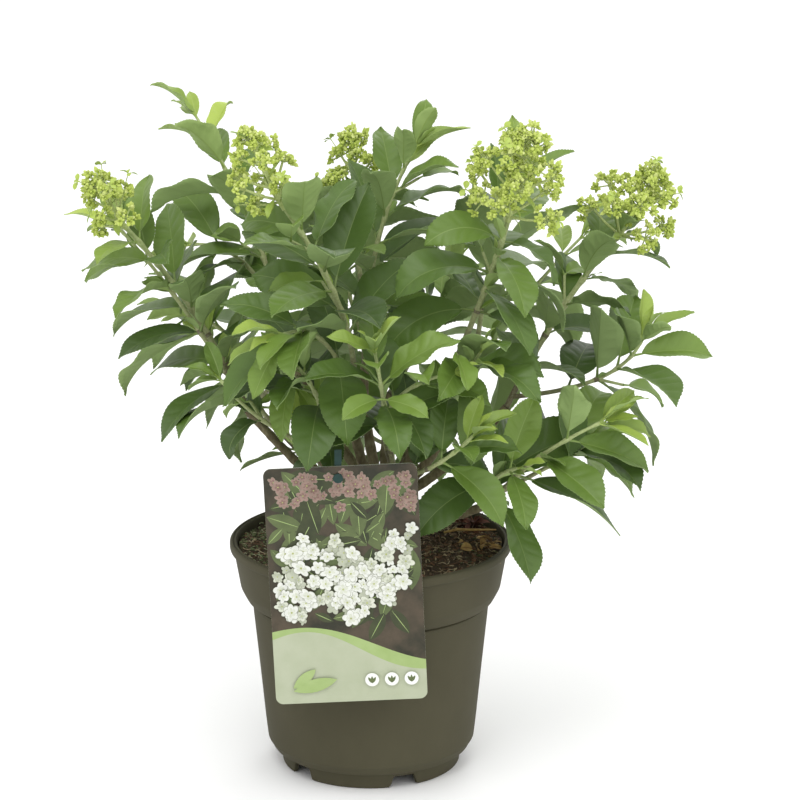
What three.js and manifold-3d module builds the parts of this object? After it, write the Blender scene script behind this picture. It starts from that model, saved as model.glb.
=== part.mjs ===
// A panicle hydrangea in its nursery pot, in millimetres, +Z up, its front facing -Y.
// The origin is the middle of the pot's underside.
import * as THREE from "three";
import { mergeVertices } from "three/addons/utils/BufferGeometryUtils.js";
import Module from "manifold-3d";

const wasm = await Module();
wasm.setup();

// Clearance between two pieces that touch on the real plant.
const CLEAR = 0.3;

// Joining and cutting leave slivers, which are smoothed away within this distance.
const SLIVER = 0.1;

// Where the seeded draws start.
const SEED = 11;

const DEGREE = Math.PI / 180;

const POT = {
  rimRadius: 96,
  rimTop: 159,
  lipHeight: 6,
  lipRound: 1.4,
  lipUndercut: 2,
  bandTopRadius: 93,
  bandBottomRadius: 88.8,
  bandBottom: 127,
  shoulderRadius: 81,
  shoulderHeight: 117,
  wallFootRadius: 72.5,
  wallFootHeight: 31,
  shoulderOut: 3.2,
  shoulderRise: 1.6,
  bandChamfer: 4,
  ledgeRadius: 69.5,
  ledgeHeight: 16,
  ledgeOut: 1.5,
  ledgeRise: 2,
  baseRadius: 67.5,
  baseHeight: 12,
  footRadius: 61,
  footTopRadius: 62.5,
  footWall: 3,
  padRadius: 16,
  wall: 2,
  floor: 2.6,
  sides: 26,
  notches: 5,
  notchTurn: 22,
  notchTopWidth: 15,
  notchFootWidth: 20,
  notchHeight: 8,
  drainRadius: 5,
  drainRing: 46,
  drainSides: 8,
};

const SOIL = {
  top: 157.6,
  flatRadius: 30,
  edgeDrop: 4.5,
  wave: 1.6,
  waveAcross: 13,
  waveAlong: 11,
  rings: 2,
};

// The label card hangs in front of the rim, leaning a little to the left.
const CARD = {
  width: 100,
  height: 162,
  corner: 5,
  thickness: 0.7,
  lean: 2.6,
  centre: [-15.3, 157.5],
  face: -97.4,
  holeRadius: 2.6,
  holeDrop: 8,
  holeSide: -1.5,
};

// Its holder is a strip that stands in the soil inside the rim and bends upright behind the card.
const HOLDER = {
  width: 4.6,
  depth: 2,
  top: 249,
  foot: 110,
  footY: -69,
  cardGap: 0.5,
  kneeShare: 0.75,
  pinRadius: 2.2,
  buttonRadius: 3.3,
  buttonThickness: 1,
  roundSides: 10,
};

// The root crown, cut flat where it meets the soil.
const CROWN = {
  base: [6, 2, SOIL.top + CLEAR],
  top: [8, 0, 191],
  flareRadius: 15,
  neckRadius: 10.5,
  neckShare: 0.3,
  topRadius: 9,
  sides: 8,
  steps: 5,
};

const BOUGH = { rootRadius: 4.2, tipRadius: 3, sides: 6, steps: 3 };

const STEM = { mainRadius: 2.5, sideRadius: 2.1, endRadius: 1.2, sides: 4, steps: 5 };

// A leaf follows an arc that bends down from its root, and its blade leans outward.
const LEAF = {
  petioleEnd: 0.14,
  petioleHalf: 1.1,
  petioleThick: 0.8,
  widestAt: 0.4,
  widestShare: 0.5,
  shoulderAt: 0.72,
  shoulderShare: 0.37,
  widthShare: 0.44,
  ribThick: 0.55,
  fold: 0.16,
  outwardTilt: 0.65,
  sheetGap: 1.4,
  stemGap: 1.6,
  tries: 5,
};

// Now and then an axil grows a short side twig with one small pair of leaves.
const TWIG = {
  chance: 0.14,
  opening: 38 * DEGREE,
  length: 20,
  lengthSpread: 6,
  rootRadius: 1.2,
  radius: 1,
  leafShare: 0.5,
};

// A flower head: clusters of buds on twigs, set on a spiral up the head's middle.
const HEAD = {
  clusterRadius: 7.6,
  radiusSpread: 0.16,
  cornerShare: 1.25,
  goldenTurn: 137.5 * DEGREE,
  twigRadius: 0.9,
  lowest: 0.1,
  highest: 0.9,
};

// Each mass of foliage grows from the tip of one bough. crownShare is how far up the root
// crown its bough leaves, and bow is how far the middle of a limb is pushed aside.
// A shoot starts at the bough's tip, or at fork, a share along the mass's first shoot.
// It carries pairs of leaves from first to last, shares along its line. turn is the first
// pair's turn round the stem in degrees, leaf the longest leaf, open and droop scale the
// angle of the leaves to the stem and their bend, and seed picks the draws.
const MASSES = [
  {
    name: "left",
    crownShare: 0.35,
    tip: [-82, -15, 253],
    bow: [4, 0, -12],
    shoots: [
      {
        end: [-164, -10, 380], bow: [5, 16, -1],
        pairs: 6, first: 0.23, last: 0.89, turn: 139, leaf: 71,
        open: 0.82, droop: 0.84, seed: 38,
        head: "panicle", size: [50, 42], clusters: 9,
      },
      {
        end: [-169, 28, 368], bow: [0, -9, 10], fork: 0.04,
        pairs: 5, first: 0.09, last: 0.97, turn: 59, leaf: 74,
        open: 1.11, droop: 0.66, seed: 18,
        head: "tip",
      },
      {
        end: [-50, -52, 282], bow: [7, -8, 13], fork: 0,
        pairs: 2, first: 0.04, last: 0.86, turn: 20, leaf: 76,
        open: 1.09, droop: 1.15, seed: 36,
        head: "none",
      },
    ],
  },
  {
    name: "upper_left",
    crownShare: 0.8,
    tip: [-52, 42, 268],
    bow: [-2, 6, -4],
    shoots: [
      {
        end: [-119, 88, 432], bow: [8, -17, 6],
        pairs: 7, first: 0.15, last: 0.9, turn: 4, leaf: 76,
        open: 0.91, droop: 1.04, seed: 43,
        head: "tip",
      },
      {
        end: [-124, 86, 344], bow: [5, -5, 20], fork: 0.1,
        pairs: 4, first: 0.27, last: 0.98, turn: 171, leaf: 76,
        open: 1.19, droop: 1.24, seed: 27,
        head: "tip",
      },
    ],
  },
  {
    name: "centre_left",
    crownShare: 0.75,
    tip: [-12, -38, 262],
    bow: [-4, -4, 0],
    shoots: [
      {
        end: [-57, -70, 407], bow: [17, -7, -4],
        pairs: 6, first: 0.4, last: 0.87, turn: 44, leaf: 76,
        open: 0.82, droop: 0.5, seed: 52,
        head: "panicle", size: [54, 56], clusters: 11,
      },
      {
        end: [-55, -98, 326], bow: [3, -2, 18], fork: 0.05,
        pairs: 4, first: 0.26, last: 0.98, turn: 87, leaf: 76,
        open: 0.99, droop: 0.75, seed: 32,
        head: "tip",
      },
    ],
  },
  {
    name: "centre",
    crownShare: 0.95,
    tip: [-4, 18, 275],
    bow: [-4, 4, 0],
    shoots: [
      {
        end: [30, 10, 427], bow: [-9, -7, 7],
        pairs: 7, first: 0.24, last: 1, turn: 141, leaf: 69,
        open: 0.75, droop: 0.69, seed: 28,
        head: "tip",
      },
      {
        end: [-12, 72, 382], bow: [-2, 18, 2], fork: 0.2,
        pairs: 5, first: 0.37, last: 0.8, turn: 163, leaf: 74,
        open: 1.16, droop: 1.18, seed: 31,
        head: "panicle", size: [50, 50], clusters: 9,
      },
    ],
  },
  {
    name: "right_centre",
    crownShare: 0.85,
    tip: [52, -28, 280],
    bow: [4, -4, 0],
    shoots: [
      {
        end: [91, -46, 392], bow: [3, 2, 1],
        pairs: 5, first: 0.4, last: 0.84, turn: 8, leaf: 76,
        open: 1.18, droop: 1.28, seed: 11,
        head: "panicle", size: [74, 66], clusters: 15,
      },
      {
        end: [72, -84, 311], bow: [-2, -7, -6], fork: 0.05,
        pairs: 4, first: 0.24, last: 0.8, turn: 33, leaf: 72,
        open: 0.75, droop: 1.17, seed: 44,
        head: "tip",
      },
    ],
  },
  {
    name: "right",
    crownShare: 0.7,
    tip: [92, 4, 250],
    bow: [2, 6, -8],
    shoots: [
      {
        end: [168, 30, 363], bow: [-2, 5, 5],
        pairs: 6, first: 0.18, last: 1, turn: 128, leaf: 59,
        open: 0.75, droop: 0.77, seed: 9,
        head: "panicle", size: [76, 54], clusters: 12,
      },
      {
        end: [181, -20, 304], bow: [15, -8, -5], fork: 0.05,
        pairs: 5, first: 0.29, last: 0.96, turn: 110, leaf: 75,
        open: 1.17, droop: 0.5, seed: 47,
        head: "tip",
      },
    ],
  },
  {
    name: "low_right",
    crownShare: 0.25,
    tip: [84, -36, 196],
    bow: [4, -4, -2],
    shoots: [
      {
        end: [151, -64, 258], bow: [-9, -10, 4],
        pairs: 5, first: 0.04, last: 0.99, turn: 117, leaf: 76,
        open: 1.13, droop: 0.57, seed: 12,
        head: "tip",
      },
      {
        end: [97, -74, 230], bow: [-9, 1, 1], fork: 0.1,
        pairs: 2, first: 0.4, last: 0.88, turn: 38, leaf: 70,
        open: 1.11, droop: 0.68, seed: 50,
        head: "none",
      },
      {
        end: [146, -22, 230], bow: [12, 3, 6], fork: 0.12,
        pairs: 4, first: 0.38, last: 0.8, turn: 163, leaf: 71,
        open: 0.87, droop: 1.14, seed: 24,
        head: "tip",
      },
    ],
  },
  {
    name: "front",
    crownShare: 0.38,
    tip: [18, -50, 205],
    bow: [1, -3.5, -3],
    shoots: [
      {
        end: [4, -112, 318], bow: [0, -7, 7],
        pairs: 6, first: 0.27, last: 1, turn: 100, leaf: 63,
        open: 1.04, droop: 0.9, seed: 35,
        head: "tip",
      },
      {
        end: [67, -102, 260], bow: [0, -7, -4], fork: 0.1,
        pairs: 5, first: 0.23, last: 0.92, turn: 154, leaf: 61,
        open: 1.08, droop: 0.99, seed: 53,
        head: "tip",
      },
      {
        end: [52, -96, 300], bow: [-20, -1, 10], fork: 0.15,
        pairs: 4, first: 0.28, last: 1, turn: 42, leaf: 60,
        open: 1, droop: 1.16, seed: 10,
        head: "tip",
      },
    ],
  },
  {
    name: "front_left",
    crownShare: 0.3,
    tip: [-22, -46, 216],
    bow: [0, -6, -4],
    shoots: [
      {
        end: [-46, -76, 299], bow: [3, -6, 10],
        pairs: 5, first: 0.4, last: 0.9, turn: 170, leaf: 76,
        open: 0.89, droop: 1.5, seed: 52,
        head: "tip",
      },
      {
        end: [-97, -58, 285], bow: [-5, -13, -1], fork: 0.15,
        pairs: 3, first: 0.04, last: 1, turn: 161, leaf: 50,
        open: 0.85, droop: 1.5, seed: 59,
        head: "tip",
      },
    ],
  },
  {
    name: "back_right",
    crownShare: 0.6,
    tip: [72, 58, 248],
    bow: [2, 4, -6],
    shoots: [
      {
        end: [102, 88, 391], bow: [-8, -18, 2],
        pairs: 6, first: 0.4, last: 0.98, turn: 135, leaf: 76,
        open: 0.76, droop: 0.5, seed: 23,
        head: "tip",
      },
      {
        end: [146, 110, 343], bow: [-9, 0, -4], fork: 0.08,
        pairs: 4, first: 0.25, last: 0.88, turn: 35, leaf: 76,
        open: 1.3, droop: 1.5, seed: 53,
        head: "tip",
      },
    ],
  },
  {
    name: "back",
    crownShare: 0.5,
    tip: [12, 72, 240],
    bow: [0, 6, -4],
    shoots: [
      {
        end: [65, 150, 324], bow: [-4, 18, -19],
        pairs: 5, first: 0.38, last: 0.87, turn: 23, leaf: 76,
        open: 0.94, droop: 0.63, seed: 0,
        head: "tip",
      },
      {
        end: [-22, 146, 342], bow: [-8, -2, -5], fork: 0.08,
        pairs: 5, first: 0.4, last: 0.81, turn: 143, leaf: 57,
        open: 1.13, droop: 1.5, seed: 24,
        head: "tip",
      },
    ],
  },
  {
    name: "back_left",
    crownShare: 0.4,
    tip: [-56, 72, 228],
    bow: [-4, 6, -6],
    shoots: [
      {
        end: [-61, 142, 287], bow: [-15, 7, 13],
        pairs: 5, first: 0.32, last: 0.81, turn: 1, leaf: 76,
        open: 1.3, droop: 0.71, seed: 41,
        head: "tip",
      },
      {
        end: [-128, 104, 289], bow: [-5, 2, 14], fork: 0.08,
        pairs: 4, first: 0.05, last: 0.87, turn: 174, leaf: 76,
        open: 1.02, droop: 1, seed: 34,
        head: "tip",
      },
    ],
  },
  {
    name: "low_back",
    crownShare: 0.2,
    tip: [26, 52, 206],
    bow: [0, 6, -2],
    shoots: [
      {
        end: [53, 112, 229], bow: [-4, 12, -2],
        pairs: 4, first: 0.1, last: 0.85, turn: 99, leaf: 57,
        open: 1.09, droop: 0.5, seed: 46,
        head: "tip",
      },
      {
        end: [-7, 118, 225], bow: [-10, -16, -7], fork: 0.1,
        pairs: 3, first: 0.26, last: 0.89, turn: 68, leaf: 65,
        open: 1.3, droop: 1.15, seed: 12,
        head: "tip",
      },
    ],
  },
  {
    name: "low_left",
    crownShare: 0.2,
    tip: [-44, 30, 206],
    bow: [-2, 2, -4],
    shoots: [
      {
        end: [-114, 44, 298], bow: [-10, 3, 3],
        pairs: 4, first: 0.04, last: 0.83, turn: 33, leaf: 46,
        open: 0.75, droop: 0.71, seed: 33,
        head: "tip",
      },
    ],
  },
];

// Small vectors as [x, y, z].
const plus = (a, b) => [a[0] + b[0], a[1] + b[1], a[2] + b[2]];
const minus = (a, b) => [a[0] - b[0], a[1] - b[1], a[2] - b[2]];
const times = (a, k) => [a[0] * k, a[1] * k, a[2] * k];
const dot = (a, b) => a[0] * b[0] + a[1] * b[1] + a[2] * b[2];
const cross = (a, b) => [
  a[1] * b[2] - a[2] * b[1],
  a[2] * b[0] - a[0] * b[2],
  a[0] * b[1] - a[1] * b[0],
];
const unit = (a) => times(a, 1 / Math.sqrt(dot(a, a)));
const along = (a, b, k) => plus(a, times(minus(b, a), k));
const distance = (a, b) => Math.hypot(a[0] - b[0], a[1] - b[1], a[2] - b[2]);

// Seeded draws between 0 and 1, or spread evenly either side of 0.
function drawsFrom(number) {
  let state = (number * 2654435 + 977) % 4294967296;
  const next = () => {
    state = (state * 1664525 + 1013904223) % 4294967296;
    return state / 4294967296;
  };
  next();
  next();
  return { next, spread: (half) => (next() * 2 - 1) * half };
}

// A limb's line: a quadratic curve whose middle is pushed aside by bow.
function bowed(start, end, bow) {
  return [start, plus(along(start, end, 0.5), times(bow, 2)), end];
}

function pointOn(line, s) {
  const [a, m, b] = line;
  return plus(
    plus(times(a, (1 - s) * (1 - s)), times(m, 2 * s * (1 - s))),
    times(b, s * s),
  );
}

function directionOn(line, s) {
  const [a, m, b] = line;
  return unit(
    plus(times(minus(m, a), 2 * (1 - s)), times(minus(b, m), 2 * s)),
  );
}

// Two directions square to a stem, the first towards the plant's right.
function squareTo(direction) {
  const level = Math.abs(direction[1]) < 0.95;
  const side = level ? unit(cross([0, -1, 0], direction)) : [1, 0, 0];
  return [side, cross(direction, side)];
}

// The direction that leaves a stem at this turn round it and this angle to it.
function leaning(direction, turn, angle) {
  const [side, other] = squareTo(direction);
  const out = plus(times(side, Math.cos(turn)), times(other, Math.sin(turn)));
  const ahead = plus(times(direction, Math.cos(angle)), times(out, Math.sin(angle)));
  return { out, ahead: unit(ahead) };
}

const taper = (from, to, more = 0) => (s) => from + (to - from) * s + more;

// A closed geometry as a solid, facing out, with the faces that collapse to a line dropped.
function solidOf(geometry) {
  geometry.deleteAttribute("normal");
  geometry.deleteAttribute("uv");
  const merged = mergeVertices(geometry, 1e-3);
  const index = merged.index.array;
  const kept = [];
  for (let i = 0; i < index.length; i += 3) {
    const [a, b, c] = [index[i], index[i + 1], index[i + 2]];
    if (a !== b && b !== c && c !== a) kept.push(a, b, c);
  }
  const build = (corners) =>
    new wasm.Manifold(
      new wasm.Mesh({
        numProp: 3,
        vertProperties: merged.attributes.position.array,
        triVerts: new Uint32Array(corners),
      }),
    );
  const made = build(kept);
  if (made.volume() > 0) return made;
  for (let i = 0; i < kept.length; i += 3)
    [kept[i + 1], kept[i + 2]] = [kept[i + 2], kept[i + 1]];
  return build(kept);
}

function solidFrom(positions, triangles) {
  const geometry = new THREE.BufferGeometry();
  const place = new THREE.BufferAttribute(new Float32Array(positions), 3);
  geometry.setAttribute("position", place);
  geometry.setIndex(triangles);
  return solidOf(geometry);
}

const joined = (solids) => solids.reduce((whole, piece) => whole.add(piece));

const smoothed = (solid) => solid.asOriginal().simplify(SLIVER);

function largestOf(solid) {
  const bodies = solid.decompose();
  bodies.sort((a, b) => b.volume() - a.volume());
  return bodies[0];
}

// A profile of [radius, height] points turned on the Z axis.
function turned(profile, sides) {
  const points = profile.map(([r, z]) => new THREE.Vector2(r, z));
  return new THREE.LatheGeometry(points, sides).rotateX(Math.PI / 2);
}

// A tapering limb along a line, closed by flat ends.
function limb(line, radiusAt, sides, steps, from = 0, to = 1) {
  const positions = [];
  const triangles = [];
  for (let j = 0; j <= steps; j++) {
    const s = from + ((to - from) * j) / steps;
    const centre = pointOn(line, s);
    const [side, other] = squareTo(directionOn(line, s));
    for (let k = 0; k < sides; k++) {
      const turn = (2 * Math.PI * k) / sides;
      const reach = plus(
        times(side, Math.cos(turn) * radiusAt(s)),
        times(other, Math.sin(turn) * radiusAt(s)),
      );
      positions.push(...plus(centre, reach));
    }
  }
  for (let j = 0; j < steps; j++)
    for (let k = 0; k < sides; k++) {
      const a = j * sides + k;
      const b = j * sides + ((k + 1) % sides);
      triangles.push(a, b, b + sides, a, b + sides, a + sides);
    }
  const last = steps * sides;
  for (let k = 1; k < sides - 1; k++) {
    triangles.push(0, k + 1, k);
    triangles.push(last, last + k, last + k + 1);
  }
  return solidFrom(positions, triangles);
}

// The pot: wall with lip and stepped band, notched foot ring, drain holes, centre pad.
function potOutside() {
  const p = POT;
  return [
    [p.footRadius, 0],
    [p.footTopRadius, p.baseHeight],
    [p.baseRadius, p.baseHeight],
    [p.ledgeRadius, p.ledgeHeight],
    [p.ledgeRadius + p.ledgeOut, p.ledgeHeight + p.ledgeRise],
    [p.wallFootRadius, p.wallFootHeight],
    [p.shoulderRadius, p.shoulderHeight],
    [p.shoulderRadius + p.shoulderOut, p.shoulderHeight + p.shoulderRise],
    [p.bandBottomRadius - p.bandChamfer / 2, p.bandBottom - p.bandChamfer],
    [p.bandBottomRadius, p.bandBottom],
    [p.bandTopRadius, p.rimTop - p.lipHeight - p.lipUndercut],
    [p.rimRadius - p.lipRound / 2, p.rimTop - p.lipHeight],
    [p.rimRadius, p.rimTop - p.lipHeight + p.lipRound],
    [p.rimRadius, p.rimTop - p.lipRound],
    [p.rimRadius - p.lipRound, p.rimTop],
  ];
}

function potInside() {
  const p = POT;
  return [
    [p.bandTopRadius - p.wall / 2, p.rimTop],
    [p.bandTopRadius - p.wall, p.rimTop - 1],
    [p.bandBottomRadius - p.wall, p.bandBottom],
    [p.shoulderRadius - p.wall, p.shoulderHeight - 1.5],
    [p.wallFootRadius - p.wall, p.wallFootHeight],
    [p.ledgeRadius - p.wall, p.baseHeight + p.floor + 2],
    [p.ledgeRadius - p.wall - 3, p.baseHeight + p.floor],
  ];
}

function footNotch(turn) {
  const p = POT;
  const shape = new THREE.Shape();
  shape.moveTo(-p.notchFootWidth / 2, -1);
  shape.lineTo(p.notchFootWidth / 2, -1);
  shape.lineTo(p.notchTopWidth / 2, p.notchHeight);
  shape.lineTo(-p.notchTopWidth / 2, p.notchHeight);
  const depth = 4 * p.footWall;
  const block = new THREE.ExtrudeGeometry(shape, { depth, bevelEnabled: false });
  block.rotateX(Math.PI / 2);
  block.translate(0, p.footRadius + depth / 2, 0);
  block.rotateZ(turn - Math.PI / 2);
  return solidOf(block);
}

function drainHole(turn) {
  const { drainRadius, drainRing, drainSides, baseHeight, floor } = POT;
  const hole = new THREE.CylinderGeometry(drainRadius, drainRadius, 3 * floor, drainSides);
  hole.rotateX(Math.PI / 2);
  hole.translate(
    drainRing * Math.cos(turn),
    drainRing * Math.sin(turn),
    baseHeight + floor / 2,
  );
  return solidOf(hole);
}

function makePot() {
  const p = POT;
  const profile = [
    [0, 0],
    [p.padRadius, 0],
    [p.padRadius + 1, p.baseHeight],
    [p.footRadius - p.footWall, p.baseHeight],
    [p.footRadius - p.footWall, 0],
    ...potOutside(),
    ...potInside(),
    [0, p.baseHeight + p.floor],
  ];
  let pot = solidOf(turned(profile, p.sides));
  const step = 360 / p.notches;
  for (let i = 0; i < p.notches; i++) {
    const turn = -90 + p.notchTurn + step * i;
    pot = pot.subtract(footNotch(turn * DEGREE));
    pot = pot.subtract(drainHole((turn + step / 2) * DEGREE));
  }
  return smoothed(pot);
}

// The inside radius of the pot's upper band at a height.
function bandInside(height) {
  const p = POT;
  const share = (height - p.bandBottom) / (p.rimTop - 1 - p.bandBottom);
  return p.bandBottomRadius + (p.bandTopRadius - p.bandBottomRadius) * share - p.wall;
}

// Soil fills the pot to just under the rim, uneven but flat under the root crown.
function soilHeight(x, y) {
  const r = Math.hypot(x, y);
  if (r <= SOIL.flatRadius) return SOIL.top;
  const reach = (r - SOIL.flatRadius) / (POT.bandTopRadius - SOIL.flatRadius);
  const wave = Math.sin(x / SOIL.waveAcross + 1) * Math.cos(y / SOIL.waveAlong);
  const lift = wave * SOIL.wave * Math.min(1, reach * 3);
  return SOIL.top - SOIL.edgeDrop * reach * reach + lift;
}

function makeSoil(holderSocket) {
  const floorHeight = POT.baseHeight + POT.floor + CLEAR;
  const edgeHeight = SOIL.top - SOIL.edgeDrop;
  const edgeRadius = bandInside(edgeHeight - SOIL.wave) - CLEAR;
  const wall = potInside()
    .slice(2)
    .reverse()
    .map(([r, z]) => [r - CLEAR, Math.max(z, floorHeight)]);
  wall.push([edgeRadius, edgeHeight]);
  const profile = [[0, floorHeight], ...wall];
  for (let i = 1; i < SOIL.rings; i++) {
    const share = i / SOIL.rings;
    profile.push([edgeRadius + (SOIL.flatRadius - edgeRadius) * share, SOIL.top]);
  }
  profile.push([SOIL.flatRadius, SOIL.top], [0, SOIL.top]);
  const soil = turned(profile, POT.sides);
  const place = soil.getAttribute("position");
  for (let i = 0; i < place.count; i++)
    if (place.getZ(i) >= edgeHeight - 0.01)
      place.setZ(i, soilHeight(place.getX(i), place.getY(i)));
  return solidOf(soil).subtract(holderSocket);
}

// The card in its own frame: upright in X and Z, its front face at Y = 0.
function cardGeometry() {
  const w = CARD.width / 2;
  const h = CARD.height / 2;
  const r = CARD.corner;
  const shape = new THREE.Shape();
  shape.absarc(w - r, -h + r, r, -Math.PI / 2, 0);
  shape.absarc(w - r, h - r, r, 0, Math.PI / 2);
  shape.absarc(-w + r, h - r, r, Math.PI / 2, Math.PI);
  shape.absarc(-w + r, -h + r, r, Math.PI, 1.5 * Math.PI);
  const hole = new THREE.Path();
  hole.absarc(CARD.holeSide, h - CARD.holeDrop, CARD.holeRadius, 0, 2 * Math.PI, true);
  shape.holes.push(hole);
  const depth = CARD.thickness;
  const slab = new THREE.ExtrudeGeometry(shape, {
    depth,
    bevelEnabled: false,
    curveSegments: 4,
  });
  slab.translate(0, 0, -depth);
  slab.rotateX(Math.PI / 2);
  return slab;
}

const cardPose = new THREE.Group();
cardPose.position.set(CARD.centre[0], CARD.face, CARD.centre[1]);
cardPose.rotation.y = -CARD.lean * DEGREE;
cardPose.updateMatrixWorld(true);

function pinCentre() {
  const spot = new THREE.Vector3(CARD.holeSide, 0, CARD.height / 2 - CARD.holeDrop);
  return spot.applyMatrix4(cardPose.matrixWorld);
}

// The holder, or with more its envelope that much larger, for its socket in the soil.
function makeHolder(more = 0) {
  const pin = pinCentre();
  const s = HOLDER;
  const backFace = CARD.face + CARD.thickness;
  const headY = backFace + s.cardGap + s.depth / 2;
  const length = s.top - s.foot;
  const knee = length * s.kneeShare;
  const slope = (s.footY - headY) / knee;
  const [wide, deep, tall] = [s.width, s.depth, length].map((size) => size + 2 * more);
  const bar = new THREE.BoxGeometry(wide, deep, tall, 1, 1, 4);
  const place = bar.getAttribute("position");
  for (let i = 0; i < place.count; i++) {
    const height = place.getZ(i) + length / 2;
    const lean = slope * Math.max(0, knee - height);
    place.setXYZ(i, place.getX(i) + pin.x, place.getY(i) + headY + lean, s.foot + height);
  }
  const front = CARD.face - CLEAR - s.buttonThickness;
  const pinLength = headY - front;
  const shaft = new THREE.CylinderGeometry(
    s.pinRadius,
    s.pinRadius,
    pinLength,
    s.roundSides,
  );
  shaft.translate(pin.x, front + pinLength / 2, pin.z);
  const button = new THREE.CylinderGeometry(
    s.buttonRadius,
    s.buttonRadius,
    s.buttonThickness,
    s.roundSides,
  );
  button.translate(pin.x, front + s.buttonThickness / 2, pin.z);
  return joined([bar, shaft, button].map(solidOf));
}

// The root crown: a short stem that flares to the soil, where it is cut flat.
function crownSolid(more = 0) {
  const c = CROWN;
  const line = bowed(c.base, c.top, [0, 0, 0]);
  const neck = taper(c.neckRadius, c.topRadius, more);
  const radius = (s) =>
    s > c.neckShare
      ? neck((s - c.neckShare) / (1 - c.neckShare))
      : c.flareRadius -
        (c.flareRadius - c.neckRadius) * Math.sqrt(Math.max(0, s) / c.neckShare) +
        more;
  const stem = limb(line, radius, c.sides, c.steps, -0.1, more ? 1.01 : 1);
  const wide = 4 * c.flareRadius;
  const below = new THREE.BoxGeometry(wide, wide, wide);
  below.translate(c.base[0], c.base[1], c.base[2] - wide / 2);
  return more ? stem : stem.subtract(solidOf(below));
}

function boughLine(mass) {
  return bowed(along(CROWN.base, CROWN.top, mass.crownShare), mass.tip, mass.bow);
}

// A leaf with its root on a stem that runs in direction.
function placeLeaf(root, direction, turn, angle, size, bend, roll) {
  const { out, ahead } = leaning(direction, turn, angle);
  const level = Math.hypot(ahead[0], ahead[1]);
  const heading =
    level < 0.05
      ? unit([out[0], out[1], 0])
      : [ahead[0] / level, ahead[1] / level, 0];
  const middle = [
    root[0] + heading[0] * size.length * 0.4 - CROWN.top[0],
    root[1] + heading[1] * size.length * 0.4 - CROWN.top[1],
  ];
  const far = Math.hypot(middle[0], middle[1]) + 20;
  const outward = middle[1] * heading[0] - middle[0] * heading[1];
  return {
    root,
    heading,
    rise: Math.atan2(ahead[2], level),
    bend,
    length: size.length,
    width: size.width,
    roll: roll - (LEAF.outwardTilt * outward) / far,
  };
}

// The place and the three directions of a leaf at a share u of its length.
function leafStation(leaf, u) {
  const { heading, rise, bend, length } = leaf;
  const slope = rise - bend * u;
  const forward = (length / bend) * (Math.sin(rise) - Math.sin(slope));
  const up = (length / bend) * (Math.cos(slope) - Math.cos(rise));
  const place = plus(leaf.root, plus(times(heading, forward), [0, 0, up]));
  const ahead = plus(times(heading, Math.cos(slope)), [0, 0, Math.sin(slope)]);
  const flat = [-heading[1], heading[0], 0];
  const lift = cross(ahead, flat);
  const across = plus(
    times(flat, Math.cos(leaf.roll)),
    times(lift, Math.sin(leaf.roll)),
  );
  return { place, ahead, across, normal: cross(ahead, across) };
}

function leafSection(leaf, u, half, thick, fold) {
  const { place, across, normal } = leafStation(leaf, u);
  const edge = plus(place, times(normal, fold));
  return [
    plus(edge, times(across, half)),
    plus(place, times(normal, thick)),
    plus(edge, times(across, -half)),
    plus(place, times(normal, -thick)),
  ];
}

// A closed leaf of 24 faces, or with more its envelope that much larger all round.
function leafSolid(leaf, stemRadius, more = 0) {
  const root = leafStation(leaf, 0);
  const tip = leafStation(leaf, 1);
  const stalk = LEAF.petioleHalf + more;
  const widest = leaf.width * LEAF.widestShare;
  const shoulder = leaf.width * LEAF.shoulderShare;
  const rib = LEAF.ribThick + more;
  const points = [
    plus(root.place, times(root.ahead, more ? 0 : -0.8 * stemRadius)),
    ...leafSection(leaf, LEAF.petioleEnd, stalk, LEAF.petioleThick + more, 0),
    ...leafSection(leaf, LEAF.widestAt, widest + more, rib, LEAF.fold * widest),
    ...leafSection(leaf, LEAF.shoulderAt, shoulder + more, rib, LEAF.fold * shoulder),
    plus(tip.place, times(tip.ahead, more)),
  ];
  const triangles = [];
  for (let k = 0; k < 4; k++) {
    const next = (k + 1) % 4;
    triangles.push(0, 1 + next, 1 + k);
    triangles.push(13, 9 + k, 9 + next);
    for (const row of [1, 5]) {
      triangles.push(row + k, row + next, row + next + 4);
      triangles.push(row + k, row + next + 4, row + k + 4);
    }
  }
  return solidFrom(points.flat(), triangles);
}

function boxOf(points) {
  const low = [0, 1, 2].map((i) => Math.min(...points.map((p) => p[i])));
  const high = [0, 1, 2].map((i) => Math.max(...points.map((p) => p[i])));
  return { low, high };
}

const boxesMeet = (a, b, gap) =>
  [0, 1, 2].every((i) => a.low[i] - gap < b.high[i] && b.low[i] - gap < a.high[i]);

// A leaf's middle sheet: its edges, faces and test points, for the clearance rule.
function leafSheet(leaf) {
  const row = (u, half) => {
    const { place, across, normal } = leafStation(leaf, u);
    const edge = plus(place, times(normal, LEAF.fold * half));
    return [plus(edge, times(across, half)), place, plus(edge, times(across, -half))];
  };
  const root = leafStation(leaf, 0).place;
  const stalk = leafStation(leaf, LEAF.petioleEnd).place;
  const [a, b, c] = row(LEAF.widestAt, leaf.width * LEAF.widestShare);
  const [d, e, f] = row(LEAF.shoulderAt, leaf.width * LEAF.shoulderShare);
  const tip = leafStation(leaf, 1).place;
  const edges = [
    [root, stalk], [stalk, a], [stalk, b], [stalk, c], [a, b], [b, c], [a, d],
    [b, e], [c, f], [d, e], [e, f], [d, tip], [e, tip], [f, tip],
  ];
  const faces = [
    [stalk, a, b], [stalk, b, c], [a, d, e], [a, e, b],
    [b, e, f], [b, f, c], [d, tip, e], [e, tip, f],
  ];
  const points = [stalk, a, b, c, d, e, f, tip];
  for (const [p, q] of edges.slice(1)) points.push(along(p, q, 0.5));
  return { edges, faces, points, ...boxOf(points) };
}

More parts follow.
